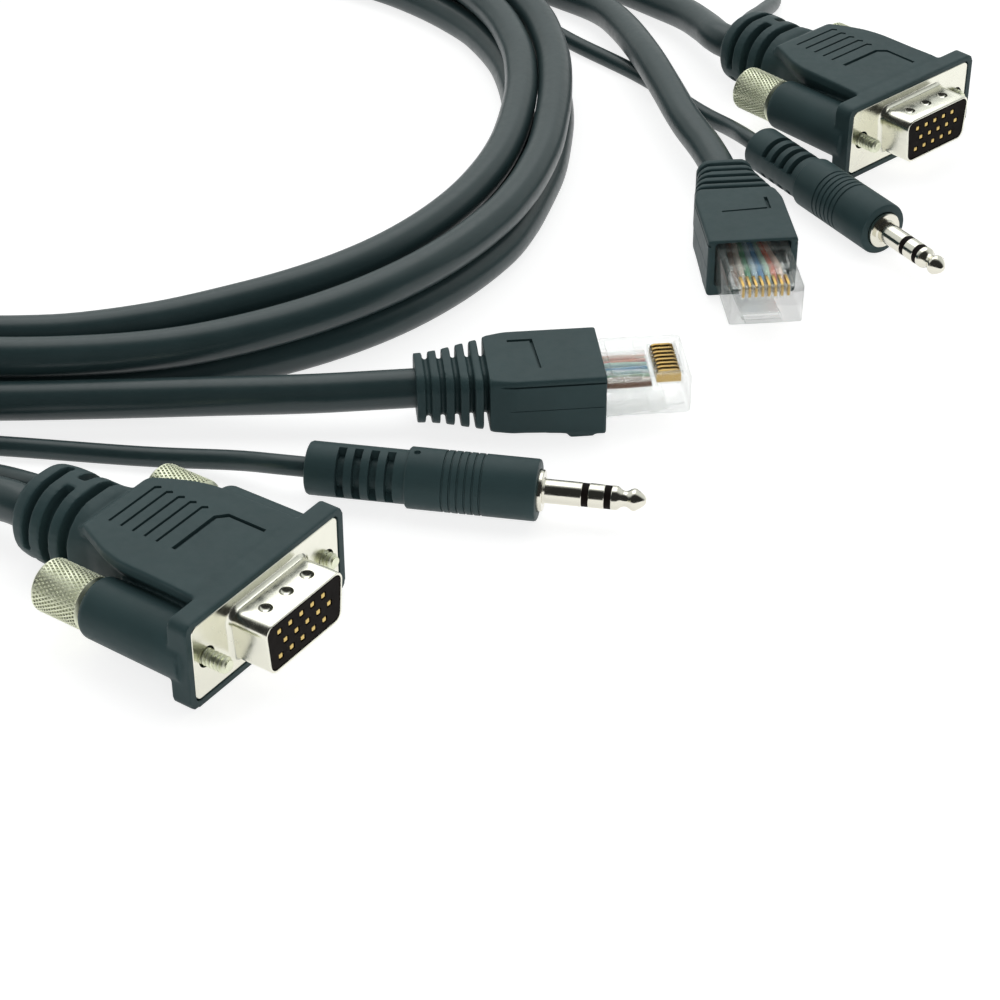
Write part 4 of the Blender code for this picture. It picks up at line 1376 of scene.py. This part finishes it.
@dataclass
class AudioConnector:
    """The 3.5 mm audio connector with its slotted body."""

    kit: Kit
    plug_diameter: float = 3.5
    plug_reach: float = 15.2
    body_diameter: float = 8.9
    relief_diameter: float = 7.8
    body_back: float = 33.9
    relief_back: float = 48.5
    collar_diameter: float = 6.0
    sides: int = 72

    @property
    def axis(self) -> float:
        """Height of the plug's axis."""
        return self.body_diameter / 2

    def turned(self, name: str, profile: Sequence[tuple[float, float]]) -> bpy.types.Object:
        """A turned piece along X from (x, diameter) steps, on its own axis."""
        return Shape().loft([(x, circle(d, self.sides)) for x, d in profile]).done(name)

    def body(self, roll: float) -> bpy.types.Object:
        """The moulded body with its relief windows and grip rings.

        Args:
            roll: how far the windows are turned round the axis, in degrees.

        Returns:
            The body on its own axis.
        """
        relief, wide = self.relief_diameter, self.body_diameter
        profile = [
            (-self.relief_back, relief - 1.0),
            (-self.relief_back + 0.15, relief - 0.35),
            (-self.relief_back + 0.5, relief),
            (-self.body_back - 0.3, relief),
            (-self.body_back - 0.05, relief + 0.15),
            (-self.body_back, wide - 0.35),
            (-self.body_back + 0.2, wide),
            *self.rings(),
            (-self.plug_reach - 0.35, wide),
            (-self.plug_reach - 0.1, wide - 0.2),
            (-self.plug_reach, wide - 0.6),
        ]
        body = self.turned("audio_body", profile)
        window = Shape()
        for first in (-94 + roll, 86 + roll):
            arc = part_ring((first, first + 134), (4.9, 4.9), (12.0, 12.0), 0.0)
            window.loft([(0.0, arc), (1.2, arc)])
        start, pitch = (-43.9, 0.0, 0.0), (2.36, 0.0, 0.0)
        row = self.kit.copies("windows", window.done("window"), 4, start, pitch)
        combine(body, row, Operation.CUT)
        cuts = Shape()
        bore = circle(self.collar_diameter + 0.2, 48)
        cuts.loft([(-self.plug_reach - 1.9, bore), (-self.plug_reach + 1.0, bore)])
        vent = Matrix.Rotation(math.radians(roll + 90), 2) @ Vector((wide / 2, 0.0))
        cuts.ball((-self.body_back + 1.3, vent.x, vent.y), 0.5)
        return combine(body, cuts.done("audio_cuts"), Operation.CUT)

    def rings(self) -> list[tuple[float, float]]:
        """The six grip grooves in the body's profile, as (x, diameter) steps."""
        wide, first, pitch = self.body_diameter, -28.65, 1.08
        steps = []
        for place in range(6):
            x = first + place * pitch
            steps += [(x, wide), (x + 0.07, wide - 0.45), (x + 0.27, wide - 0.45), (x + 0.34, wide)]
        return steps

    def metal(self) -> dict[str, bpy.types.Object]:
        """The sleeve with its collar, the ring and the tip."""
        wide, collar, face = self.plug_diameter, self.collar_diameter, -self.plug_reach
        sleeve = [
            (face - 1.6, collar),
            (face + 0.55, collar),
            (face + 0.7, collar - 0.25),
            (face + 0.7, wide + 0.5),
            (face + 0.95, wide),
            (-9.15, wide),
            (-9.05, wide - 0.15),
        ]
        ring = [(-8.1, wide - 0.15), (-8.0, wide), (-5.95, wide), (-5.85, wide - 0.15)]
        tip = [(-4.9, wide - 0.15), (-4.8, wide), (-4.2, wide)]
        tip += [(-3.9, 3.3), (-3.5, 2.6), (-3.15, 2.3), (-2.8, 2.3), (-2.5, 2.5)]
        tip += [(-2.1, 3.05), (-1.8, 3.25), (-1.45, 3.2), (-0.8, 2.4), (-0.25, 1.5), (0.0, 0.7)]
        return {
            "sleeve": self.turned("sleeve", sleeve),
            "ring": self.turned("ring", ring),
            "tip": self.turned("tip", tip),
        }

    def build(self) -> None:
        """Make and set the pieces of both ends, whose bodies are rolled differently."""
        metal = self.metal()
        lift = Matrix.Translation((0.0, 0.0, self.axis * MM))
        for end, roll in ((End.FRONT, 0.0), (End.REAR, -62.0)):
            label, place = end.value, PLACES[end]["audio"]
            made = self.body(roll)
            made.name = f"{label}_jack_moulding"
            made.data.transform(lift)
            entry = Enrolment(made, "cable", "moulded_plastic", (f"{label}_audio_body",), 30.0)
            enrol(entry, place, self.kit.finish(SOFT_PVC))
            for name, piece in metal.items():
                made = copy_of(piece, f"{label}_jack_{name}")
                made.data.transform(lift)
                entry = Enrolment(made, "cable", "nickel", (f"{label}_audio_{name}",), 30.0)
                enrol(entry, place, self.kit.finish(TURNED_NICKEL))
            for number, x in ((1, -9.05), (2, -5.85)):
                thin = self.plug_diameter - 0.12
                band = [(x, thin), (x + 0.95, thin)]
                made = self.turned(f"{label}_jack_band_{number}", band)
                made.data.transform(lift)
                node = f"{label}_audio_insulator_{number}"
                entry = Enrolment(made, "cable", "contact_block", (node,), 30.0)
                enrol(entry, place, self.kit.finish(BLACK_NYLON))
        for piece in metal.values():
            bpy.data.objects.remove(piece, do_unlink=True)


@dataclass(frozen=True)
class CordSpec:
    """The facts of one cord."""

    name: str
    diameter: float
    length: float
    stiffness: str
    lay: str


def curve_points(route: Sequence[Vector], spacing: float) -> list[Vector]:
    """Points at an even spacing on a smooth curve through the route's own points.

    Args:
        route: the points that the curve passes through.
        spacing: the distance between two points of the result.

    Returns:
        The points, with the route's own ends.
    """
    ends = [2 * route[0] - route[1], *route, 2 * route[-1] - route[-2]]
    fine: list[Vector] = []
    for a, b, c, d in zip(ends, ends[1:], ends[2:], ends[3:]):
        for step in range(24):
            t = step / 24
            low = 2 * b + (c - a) * t
            high = (2 * a - 5 * b + 4 * c - d) * t**2 + (3 * b - a - 3 * c + d) * t**3
            fine.append(0.5 * (low + high))
    fine.append(route[-1])
    reach = [0.0]
    for low, high in zip(fine, fine[1:]):
        reach.append(reach[-1] + (high - low).length)
    count = max(2, round(reach[-1] / spacing))
    points = []
    place = 0
    for step in range(count + 1):
        want = reach[-1] * step / count
        while place < len(fine) - 2 and reach[place + 1] < want:
            place += 1
        part = (want - reach[place]) / (reach[place + 1] - reach[place])
        points.append(fine[place].lerp(fine[place + 1], min(part, 1.0)))
    return points


@dataclass
class Cords:
    """The two thick cords, wound together in a coil, and the two audio tails."""

    kit: Kit
    centre: tuple[float, float] = (-43.2, 140.1)
    video_diameter: float = 6.1
    network_diameter: float = 5.9
    audio_diameter: float = 3.0
    thick_exit: float = -1.6
    thin_exit: float = 3.4
    straight: float = 4.0
    inside: float = 0.8
    upper: float = 9.05
    spacing: float = 2.2
    turn_step: float = 9.0
    tie_angle: float = 205.0
    tie_radius: float = 78.9
    tie_half: float = 5.0

    def coil(self, keys: Sequence[tuple[float, float, float]]) -> list[Vector]:
        """Points round the coil, at least one every few degrees.

        Args:
            keys: angle in degrees, falling, then radius and height.

        Returns:
            The points.
        """
        rows = smooth_keys([(-angle, radius, z) for angle, radius, z in keys], self.turn_step)
        points = []
        for angle, radius, z in rows:
            turn = math.radians(-angle)
            x = self.centre[0] + radius * math.cos(turn)
            points.append(Vector((x, self.centre[1] + radius * math.sin(turn), z)))
        return points

    def video_exit(self, end: End, away: float, y: float) -> Vector:
        """A point straight behind a video hood."""
        return PLACES[end]["video"].point(-VIDEO_CORD_START - away, y, VIDEO_AXIS)

    def network_exit(self, end: End, away: float) -> Vector:
        """A point straight behind a network boot."""
        return PLACES[end]["network"].point(-NETWORK_CORD_START - away, 0.0, NETWORK_AXIS)

    def audio_exit(self, end: End, away: float) -> Vector:
        """A point straight behind an audio body."""
        return PLACES[end]["audio"].point(-AUDIO_CORD_START - away, 0.0, AUDIO_AXIS)

    def video_route(self) -> list[Vector]:
        """The video cord from the front hood through the outer turns to the rear hood."""
        low, high = self.video_diameter / 2, self.upper
        start = [
            self.video_exit(End.FRONT, -self.inside, self.thick_exit),
            self.video_exit(End.FRONT, self.straight, self.thick_exit),
            Vector((-45.5, 28.6, 5.5)),
            Vector((-56.0, 32.4, 4.2)),
            Vector((-70.0, 34.6, low)),
            Vector((-93.0, 37.0, low)),
            Vector((-118.0, 49.0, low)),
            Vector((-139.0, 73.0, low)),
            Vector((-149.0, 104.0, low)),
        ]
        keys = [
            (184, 100.0, low),
            (166, 95.0, low),
            (151, 89.0, low),
            (140, 85.0, low),
            (130, 82.5, low),
            (90, 82.0, low),
            (50, 85.5, low),
            (30, 86.2, low),
            (11, 84.8, low),
            (-4, 83.0, low),
            (-16, 82.9, low),
            (-29, 84.0, low),
            (-45, 83.8, low),
            (-60, 83.0, low),
            (-76, 82.0, low),
            (-92, 81.6, low),
            (-120, 82.0, low),
            (-145, 82.0, low),
            (-170, 82.0, low),
            (-201, 82.0, high),
            (-230, 82.5, high),
            (-270, 87.0, high),
            (-310, 90.0, high),
            (-330, 88.7, high),
            (-340, 86.8, high),
            (-348, 85.0, high),
            (-357, 83.3, high),
            (-365, 82.6, high),
            (-379, 83.0, high),
            (-389, 83.5, high),
            (-410, 83.7, high),
            (-431, 83.7, high),
            (-443, 82.8, high),
            (-455, 82.4, high),
            (-480, 82.0, high),
            (-500, 82.0, high),
            (-520, 82.0, high),
            (-535, 88.0, high),
            (-545, 95.0, high),
            (-555, 98.0, high),
            (-570, 97.5, high),
            (-585, 96.0, 6.0),
            (-600, 95.5, low),
            (-628, 96.0, low),
        ]
        finish = [
            Vector((-20.0, 235.5, low)),
            Vector((2.0, 232.0, low)),
            Vector((22.0, 225.0, low)),
            Vector((40.0, 214.0, low)),
            Vector((52.0, 202.5, 3.2)),
            Vector((60.5, 192.4, 3.9)),
            Vector((65.5, 185.0, 4.8)),
            Vector((68.6, 177.2, 5.9)),
            self.video_exit(End.REAR, self.straight, self.thick_exit),
            self.video_exit(End.REAR, -self.inside, self.thick_exit),
        ]
        return start + self.coil(keys) + finish

    def network_route(self) -> list[Vector]:
        """The network cord from the front boot through the inner turns to the rear boot."""
        low, high = self.network_diameter / 2, self.upper
        start = [
            self.network_exit(End.FRONT, -self.inside),
            self.network_exit(End.FRONT, self.straight),
            Vector((2.0, 52.9, 5.6)),
            Vector((-12.0, 52.7, 5.3)),
            Vector((-28.0, 52.4, 5.0)),
            Vector((-43.0, 52.2, 4.8)),
            Vector((-56.0, 52.8, 4.5)),
            Vector((-68.0, 54.6, 4.0)),
            Vector((-92.0, 61.2, 3.2)),
            Vector((-113.0, 73.5, low)),
        ]
        keys = [
            (209, 91.5, low),
            (193, 89.5, low),
            (176, 87.25, low),
            (165, 84.0, low),
            (155, 80.5, low),
            (145, 77.5, low),
            (135, 76.0, low),
            (90, 76.0, low),
            (50, 79.4, low),
            (30, 80.0, low),
            (12, 78.0, low),
            (-5, 76.1, low),
            (-19, 75.7, low),
            (-45, 75.3, low),
            (-64, 74.8, low),
            (-92, 75.4, low),
            (-120, 75.6, low),
            (-145, 75.7, low),
            (-174, 75.7, low),
            (-205, 75.7, high),
            (-230, 76.0, high),
            (-270, 80.0, high),
            (-310, 82.7, high),
            (-329, 81.8, high),
            (-348, 78.8, high),
            (-365, 76.3, high),
            (-379, 75.8, high),
            (-402, 75.5, high),
            (-424, 74.7, high),
            (-433, 75.3, high),
            (-442, 76.0, high),
            (-455, 76.3, high),
            (-480, 75.8, high),
            (-500, 75.7, high),
            (-520, 76.0, high),
            (-535, 82.0, high),
            (-545, 88.5, high),
            (-555, 91.5, high),
            (-570, 91.0, high),
            (-585, 89.7, 8.0),
            (-600, 89.2, 5.0),
            (-628, 90.0, low),
            (-646, 91.0, low),
            (-662, 92.0, low),
        ]
        finish = [
            Vector((22.0, 213.0, low)),
            Vector((33.0, 206.0, low)),
            Vector((42.5, 198.0, low)),
            Vector((49.6, 189.5, 3.7)),
            Vector((53.6, 178.5, 5.0)),
            Vector((57.2, 163.0, 6.5)),
            Vector((60.0, 150.5, 6.6)),
            Vector((62.6, 138.6, 6.5)),
            Vector((65.6, 129.0, 6.2)),
            self.network_exit(End.REAR, self.straight),
            self.network_exit(End.REAR, -self.inside),
        ]
        return start + self.coil(keys) + finish

    def front_audio_route(self) -> list[Vector]:
        """The audio tail that leaves the front hood and comes back to the front jack."""
        low = self.audio_diameter / 2
        return [
            self.video_exit(End.FRONT, -self.inside, self.thin_exit),
            self.video_exit(End.FRONT, self.straight, self.thin_exit),
            Vector((-44.0, 36.0, 3.4)),
            Vector((-56.0, 40.0, low)),
            Vector((-72.0, 41.4, low)),
            Vector((-85.0, 41.6, low)),
            Vector((-91.6, 43.4, low)),
            Vector((-94.2, 48.0, low)),
            Vector((-91.4, 52.4, low)),
            Vector((-85.0, 53.5, low)),
            Vector((-72.0, 49.8, low)),
            Vector((-57.0, 46.6, low)),
            Vector((-42.5, 45.2, low)),
            Vector((-22.0, 42.6, low)),
            Vector((-8.0, 39.4, 3.0)),
            self.audio_exit(End.FRONT, self.straight),
            self.audio_exit(End.FRONT, -self.inside),
        ]

    def rear_audio_route(self) -> list[Vector]:
        """The audio tail from the rear hood, over both leads and back to the rear jack."""
        low = self.audio_diameter / 2
        return [
            self.video_exit(End.REAR, -self.inside, self.thin_exit),
            self.video_exit(End.REAR, self.straight * 0.7, self.thin_exit),
            Vector((77.0, 180.5, 5.6)),
            Vector((80.5, 189.0, 3.6)),
            Vector((83.5, 199.0, low)),
            Vector((82.5, 212.0, low)),
            Vector((74.0, 222.5, low)),
            Vector((62.0, 225.5, 2.8)),
            Vector((50.5, 220.0, 7.0)),
            Vector((41.0, 210.5, 9.0)),
            Vector((36.0, 200.5, 8.0)),
            Vector((36.0, 190.5, 2.8)),
            Vector((42.6, 181.6, low)),
            Vector((56.1, 166.0, low)),
            Vector((66.2, 151.2, low)),
            Vector((71.0, 143.0, 2.6)),
            self.audio_exit(End.REAR, self.straight),
            self.audio_exit(End.REAR, -self.inside),
        ]

    def cord(
        self, spec: CordSpec, nodes: tuple[str, ...], route: list[Vector]
    ) -> None:
        """Args:
            spec: its facts.
            nodes: the solids that it stands for.
            route: the points that it passes through, in millimetres.
        """
        points = curve_points(route, self.spacing)
        curve = bpy.data.curves.new(spec.name, "CURVE")
        curve.dimensions = "3D"
        curve.bevel_depth = spec.diameter / 2 * MM
        curve.bevel_resolution = 8
        curve.use_fill_caps = True
        curve.twist_mode = "MINIMUM"
        spline = curve.splines.new("POLY")
        spline.points.add(len(points) - 1)
        for knot, point in zip(spline.points, points):
            knot.co = (*(point * MM), 1.0)
        spline.use_smooth = True
        curve.materials.append(self.kit.finish(JACKET_PVC))
        made = bpy.data.objects.new(spec.name, curve)
        bpy.context.scene.collection.objects.link(made)
        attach(made, "cable")
        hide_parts(*nodes)
        reach = sum((b - a).length for a, b in zip(points, points[1:]))
        log.info("%s: %d points, %.0f mm", spec.name, len(points), reach)

    def tie(self) -> None:
        """The hook-and-loop tie round the four strands, on the hidden far left."""
        angle, half = math.radians(self.tie_angle), self.tie_half
        across, height = 12.6, 12.3
        inner = box_outline(across, height, 3.2, height / 2 + 0.05, steps=6)
        outer = box_outline(across + 1.6, height + 1.4, 3.9, height / 2 + 0.05, steps=6)
        rows = [(-half, outer), (half, outer), (half, inner), (-half, inner)]
        band = Shape().loft(rows, closed=True)
        made = band.done("coil_strap")
        turn = Matrix.Rotation(angle - math.pi / 2, 4, "Z")
        shift = Matrix.Translation(Vector((*self.centre, 0.7)) * MM)
        reach = Matrix.Translation((0.0, self.tie_radius * MM, 0.0))
        made.data.transform(shift @ turn @ reach)
        entry = Enrolment(made, "cable", "contact_block", ("coil_tie",), 40.0)
        enrol(entry, None, self.kit.finish(BLACK_NYLON))

    def build(self) -> None:
        """Make the four cords and the tie."""
        thick, thin = ("medium", "coiled"), ("limp", "loose")
        jobs = (
            (
                CordSpec("video_cord", self.video_diameter, 1.55, *thick),
                ("front_video_cord", "rear_video_cord", "cord_coil"),
                self.video_route(),
                self.video_exit(End.FRONT, 0.0, self.thick_exit),
            ),
            (
                CordSpec("network_cord", self.network_diameter, 1.5, *thick),
                ("front_network_cord", "rear_network_cord", "cord_coil"),
                self.network_route(),
                self.network_exit(End.FRONT, 0.0),
            ),
            (
                CordSpec("front_audio_tail", self.audio_diameter, 0.175, *thin),
                ("front_audio_cord",),
                self.front_audio_route(),
                self.video_exit(End.FRONT, 0.0, self.thin_exit),
            ),
            (
                CordSpec("rear_audio_tail", self.audio_diameter, 0.19, *thin),
                ("rear_audio_cord",),
                self.rear_audio_route(),
                self.video_exit(End.REAR, 0.0, self.thin_exit),
            ),
        )
        for spec, nodes, route, exit_point in jobs:
            self.cord(spec, nodes, route)
        self.tie()


@dataclass(frozen=True)
class Lamp:
    """One soft square lamp, aimed at the middle of the cable."""

    name: str
    place: tuple[float, float, float]
    size: float
    power: float
    mirrored: bool = True


@dataclass
class Studio:
    """A white table and soft light, seen by the photograph's camera."""

    lens: float = 93.6
    sensor: float = 36.0
    eye: tuple[float, float, float] = (30.3, -268.8, 216.6)
    pitch: float = 35.6
    middle: tuple[float, float, float] = (0.02, 0.08, 0.0)
    floor_size: float = 6.0
    floor_white: float = 0.9
    floor_glow: float = 0.8
    lamps: tuple[Lamp, ...] = (
        Lamp("overhead", (0.0, 0.55, 0.8), 0.9, 2.6),
        Lamp("fill", (0.1, -0.9, 0.5), 1.2, 4.0, mirrored=False),
    )
    wall_start: float = -0.2
    wall_full: float = 0.25
    room_bright: float = 0.85
    room_dark: float = 0.03

    def camera(self) -> None:
        """Set up the camera."""
        data = bpy.data.cameras.new("camera")
        data.lens = self.lens
        data.sensor_width = self.sensor
        data.clip_start = 0.01
        made = bpy.data.objects.new("camera", data)
        made.location = Vector(self.eye) * MM
        made.rotation_euler = (math.radians(90 - self.pitch), 0.0, 0.0)
        bpy.context.scene.collection.objects.link(made)
        bpy.context.scene.camera = made

    def seen(self, tree: bpy.types.NodeTree) -> bpy.types.NodeSocket:
        """One where the camera, a reflection or clear plastic looks, and none elsewhere."""
        path = add_node(tree, "ShaderNodeLightPath").outputs
        inputs = {0: path["Is Glossy Ray"], 1: path["Is Transmission Ray"]}
        other = add_node(tree, "ShaderNodeMath", {"operation": "MAXIMUM"}, inputs).outputs[0]
        inputs = {0: path["Is Camera Ray"], 1: other}
        return add_node(tree, "ShaderNodeMath", {"operation": "MAXIMUM"}, inputs).outputs[0]

    def floor(self) -> None:
        """The white table: fully white to the camera and in mirrors, apart from the shadow."""
        half = self.floor_size / 2
        mesh = bpy.data.meshes.new("table")
        corners = [(-half, -half, 0.0), (half, -half, 0.0), (half, half, 0.0), (-half, half, 0.0)]
        mesh.from_pydata(corners, [], [(0, 1, 2, 3)])
        made = bpy.data.objects.new("table", mesh)
        bpy.context.scene.collection.objects.link(made)
        material, tree, shader = bare_material("white_card")
        shader.inputs["Roughness"].default_value = 0.9
        shader.inputs["Specular IOR Level"].default_value = 0.0
        seen = self.seen(tree)
        inputs = {"Value": seen, "To Min": self.floor_white, "To Max": self.floor_white / 2}
        white = add_node(tree, "ShaderNodeMapRange", None, inputs).outputs["Result"]
        tree.links.new(white, shader.inputs["Base Color"])
        inputs = {0: seen, 1: self.floor_glow}
        glow = add_node(tree, "ShaderNodeMath", {"operation": "MULTIPLY"}, inputs).outputs[0]
        light = add_node(tree, "ShaderNodeEmission", None, {"Strength": glow}).outputs[0]
        inputs = {0: shader.outputs[0], 1: light}
        both = add_node(tree, "ShaderNodeAddShader", None, inputs).outputs[0]
        tree.links.new(both, tree.nodes["Material Output"].inputs["Surface"])
        mesh.materials.append(material)

    def lamp(self, lamp: Lamp) -> None:
        """Set up one lamp, which metal mirrors or not."""
        data = bpy.data.lights.new(lamp.name, "AREA")
        data.shape = "SQUARE"
        data.size = lamp.size
        data.energy = lamp.power
        made = bpy.data.objects.new(lamp.name, data)
        made.location = lamp.place
        made.visible_camera = False
        made.visible_glossy = lamp.mirrored
        aim = Vector(self.middle) - made.location
        made.rotation_euler = aim.to_track_quat("-Z", "Y").to_euler()
        bpy.context.scene.collection.objects.link(made)

    def world(self) -> None:
        """A room with a white wall behind the cable and a dark side behind the camera."""
        world = bpy.data.worlds.new("room")
        bpy.context.scene.world = world
        world.use_nodes = True
        tree = world.node_tree
        place = add_node(tree, "ShaderNodeTexCoord").outputs["Generated"]
        depth = add_node(tree, "ShaderNodeSeparateXYZ", None, {0: place}).outputs["Y"]
        inputs = {
            "Value": depth,
            "From Min": self.wall_start,
            "From Max": self.wall_full,
            "To Min": self.room_dark,
            "To Max": self.room_bright,
        }
        wall = add_node(
            tree, "ShaderNodeMapRange", {"interpolation_type": "SMOOTHSTEP"}, inputs
        ).outputs["Result"]
        room = tree.nodes["Background"]
        room.inputs["Color"].default_value = linear("#F6FAF8")
        tree.links.new(wall, room.inputs["Strength"])
        white = add_node(tree, "ShaderNodeBackground", None, {"Strength": 1.0})
        white.inputs["Color"].default_value = (1.0, 1.0, 1.0, 1.0)
        path = add_node(tree, "ShaderNodeLightPath").outputs
        inputs = {0: path["Is Camera Ray"], 1: room.outputs[0], 2: white.outputs[0]}
        mixed = add_node(tree, "ShaderNodeMixShader", None, inputs).outputs[0]
        tree.links.new(mixed, tree.nodes["World Output"].inputs["Surface"])

    def build(self) -> None:
        """Set up the camera, the table and the light."""
        self.camera()
        self.floor()
        self.world()
        for lamp in self.lamps:
            self.lamp(lamp)
        bpy.context.scene.view_settings.view_transform = "Standard"
        log.info("camera, table and light")


def main() -> None:
    """Build the studio, the cords and the connectors."""
    logging.basicConfig(level=logging.INFO, format="%(message)s")
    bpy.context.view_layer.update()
    Studio().build()
    kit = Kit()
    makers: tuple[Callable[[], None], ...] = (
        Cords(kit).build,
        VideoConnector(kit).build,
        NetworkConnector(kit).build,
        AudioConnector(kit).build,
    )
    for make in makers:
        make()


if __name__ == "__main__":
    main()
